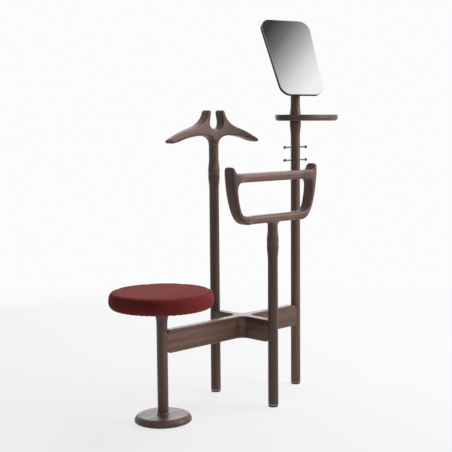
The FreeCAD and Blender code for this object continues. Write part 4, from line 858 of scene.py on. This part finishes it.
def white_studio():
    """The world: backdrop white to the camera and to reflections, a dim even glow to everything else."""
    world = bpy.data.worlds.new("white_studio")
    world.use_nodes = True
    tree = world.node_tree
    tree.nodes.clear()
    output = tree.nodes.new("ShaderNodeOutputWorld")
    rays = add(tree, "LightPath")
    seen = combine(tree, "MAXIMUM", rays.outputs["Is Camera Ray"], rays.outputs["Is Glossy Ray"])
    seen = combine(tree, "MAXIMUM", seen, rays.outputs["Is Transmission Ray"])
    glow = add(tree, "Background", Color=(0.90, 0.92, 1.08, 1.0), Strength=AMBIENT)
    white = add(tree, "Background", Color=(0.97, 0.97, 0.972, 1.0), Strength=1.0)
    mix = tree.nodes.new("ShaderNodeMixShader")
    fill(tree, mix.inputs[0], seen)
    tree.links.new(glow.outputs[0], mix.inputs[1])
    tree.links.new(white.outputs[0], mix.inputs[2])
    tree.links.new(mix.outputs[0], output.inputs["Surface"])
    bpy.context.scene.world = world


white_studio()


# %% Lamps
def soft_lamp(name, place, target, size, power, colour=(1.0, 1.0, 1.0)):
    """A square soft box at a place, aimed at a target; power is in watts."""
    data = bpy.data.lights.new(name, "AREA")
    data.shape = "RECTANGLE"
    data.size, data.size_y = size
    data.energy = power
    data.color = colour
    lamp = bpy.data.objects.new(name, data)
    lamp.visible_camera = False
    bpy.context.scene.collection.objects.link(lamp)
    back = np.array(place, dtype=float) - np.array(target, dtype=float)
    back /= np.linalg.norm(back)
    side = np.cross([0.0, 0.0, 1.0], back)
    if np.linalg.norm(side) < 1e-6:
        side = np.array([1.0, 0.0, 0.0])
    side /= np.linalg.norm(side)
    matrix = np.eye(4)
    matrix[:3, 0], matrix[:3, 1], matrix[:3, 2], matrix[:3, 3] = side, np.cross(back, side), back, place
    lamp.matrix_world = Matrix(matrix.tolist())
    return lamp


MIDDLE = (STAND_MIDDLE[0], STAND_MIDDLE[1], 0.7)
soft_lamp("overhead_box", (1.9, 0.0, 3.2), MIDDLE, (2.2, 2.2), 70.0)
soft_lamp("key_box", (2.65, -2.55, 2.1), MIDDLE, (1.5, 2.0), 80.0, (1.0, 0.955, 0.92))
soft_lamp("back_glow", (2.5, 2.7, 1.5), MIDDLE, (3.0, 2.0), 46.0, (0.97, 0.98, 1.0))
print("lamps", [light.name for light in bpy.data.lights])

# %% [markdown]
# ## The painted reflection in the mirror
# A mirror shows what it faces, and a bare studio gives it flat white. So a card that glows with a
# painted reflection is hung where the glass looks, so that it reads as glass: its greys stand in for
# the darker room that the glass would show. The card's place follows from the law of reflection: the
# camera's sight line to the mirror's middle is turned over the glass's face, and so are the camera's
# own right and up. The card's painted reflection is dark at its upper left and white at its lower
# right. Only reflections see it; it lights nothing and hides nothing.

# %% Graded card, a painted reflection
CARD_DISTANCE = 3.0
CARD_SIZE = 1.6


def reflect(direction, normal):
    """Turns a direction over a flat face: twice its part along the normal is taken away."""
    return direction - 2 * (direction @ normal) * normal


def painted_reflection_card():
    """A square card square to the reflected sight line, which carries the painted reflection as a diagonal
    ramp of greys.
    """
    low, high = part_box("mirror_glass")
    middle = (np.array(low) + np.array(high)) / 2
    place = np.array(camera.matrix_world)
    sight = middle - place[:3, 3]
    travelled = np.linalg.norm(sight)
    away = reflect(sight / travelled, glass_normal)
    matrix = np.eye(4)
    matrix[:3, 0], matrix[:3, 1] = reflect(place[:3, 0], glass_normal), reflect(place[:3, 1], glass_normal)
    matrix[:3, 2] = np.cross(matrix[:3, 0], matrix[:3, 1])
    matrix[:3, 3] = middle + CARD_DISTANCE * away
    corner = np.array([[-1, -1, 0], [1, -1, 0], [1, 1, 0], [-1, 1, 0]]) * CARD_SIZE / 2
    mesh = bpy.data.meshes.new("painted_reflection_card")
    mesh.from_pydata(corner.tolist(), [], [(0, 1, 2, 3)])
    card = bpy.data.objects.new("painted_reflection_card", mesh)
    bpy.context.scene.collection.objects.link(card)
    card.matrix_world = Matrix(matrix.tolist())
    card.visible_camera = card.visible_diffuse = card.visible_shadow = False
    card.visible_transmission = card.visible_volume_scatter = False
    return card


def painted_reflection_greys():
    """The painted reflection: a glowing ramp of greys that runs down and to the right over the part of the
    card that the glass shows.
    """
    material = bpy.data.materials.new("painted_reflection_greys")
    material.use_nodes = True
    tree = material.node_tree
    tree.nodes.clear()
    output = tree.nodes.new("ShaderNodeOutputMaterial")
    split = add(tree, "SeparateXYZ", Vector=add(tree, "TexCoord").outputs["Object"])
    across = combine(tree, "MULTIPLY_ADD", split.outputs["X"], 1.75, 0.56)
    value = combine(tree, "MULTIPLY_ADD", split.outputs["Y"], -1.22, across)
    grey = ramp(tree, value, (0.0, (0.046, 0.046, 0.047)), (0.25, (0.165, 0.165, 0.167)),
                (0.5, (0.42, 0.42, 0.422)), (0.75, (0.74, 0.74, 0.742)), (1.0, (0.93, 0.93, 0.93)))
    # The card glows by itself: its greys are the painted reflection that the mirror shows.
    glow = add(tree, "Emission", Color=grey, Strength=1.0)
    tree.links.new(glow.outputs[0], output.inputs["Surface"])
    return material


card = painted_reflection_card()
dress(card, painted_reflection_greys())
print("card at", [round(value, 2) for value in card.location])

# %% [markdown]
# ## Last step
# The picture shows colours as they are, so the view is Standard.

# %% Colour view
bpy.context.scene.view_settings.view_transform = "Standard"
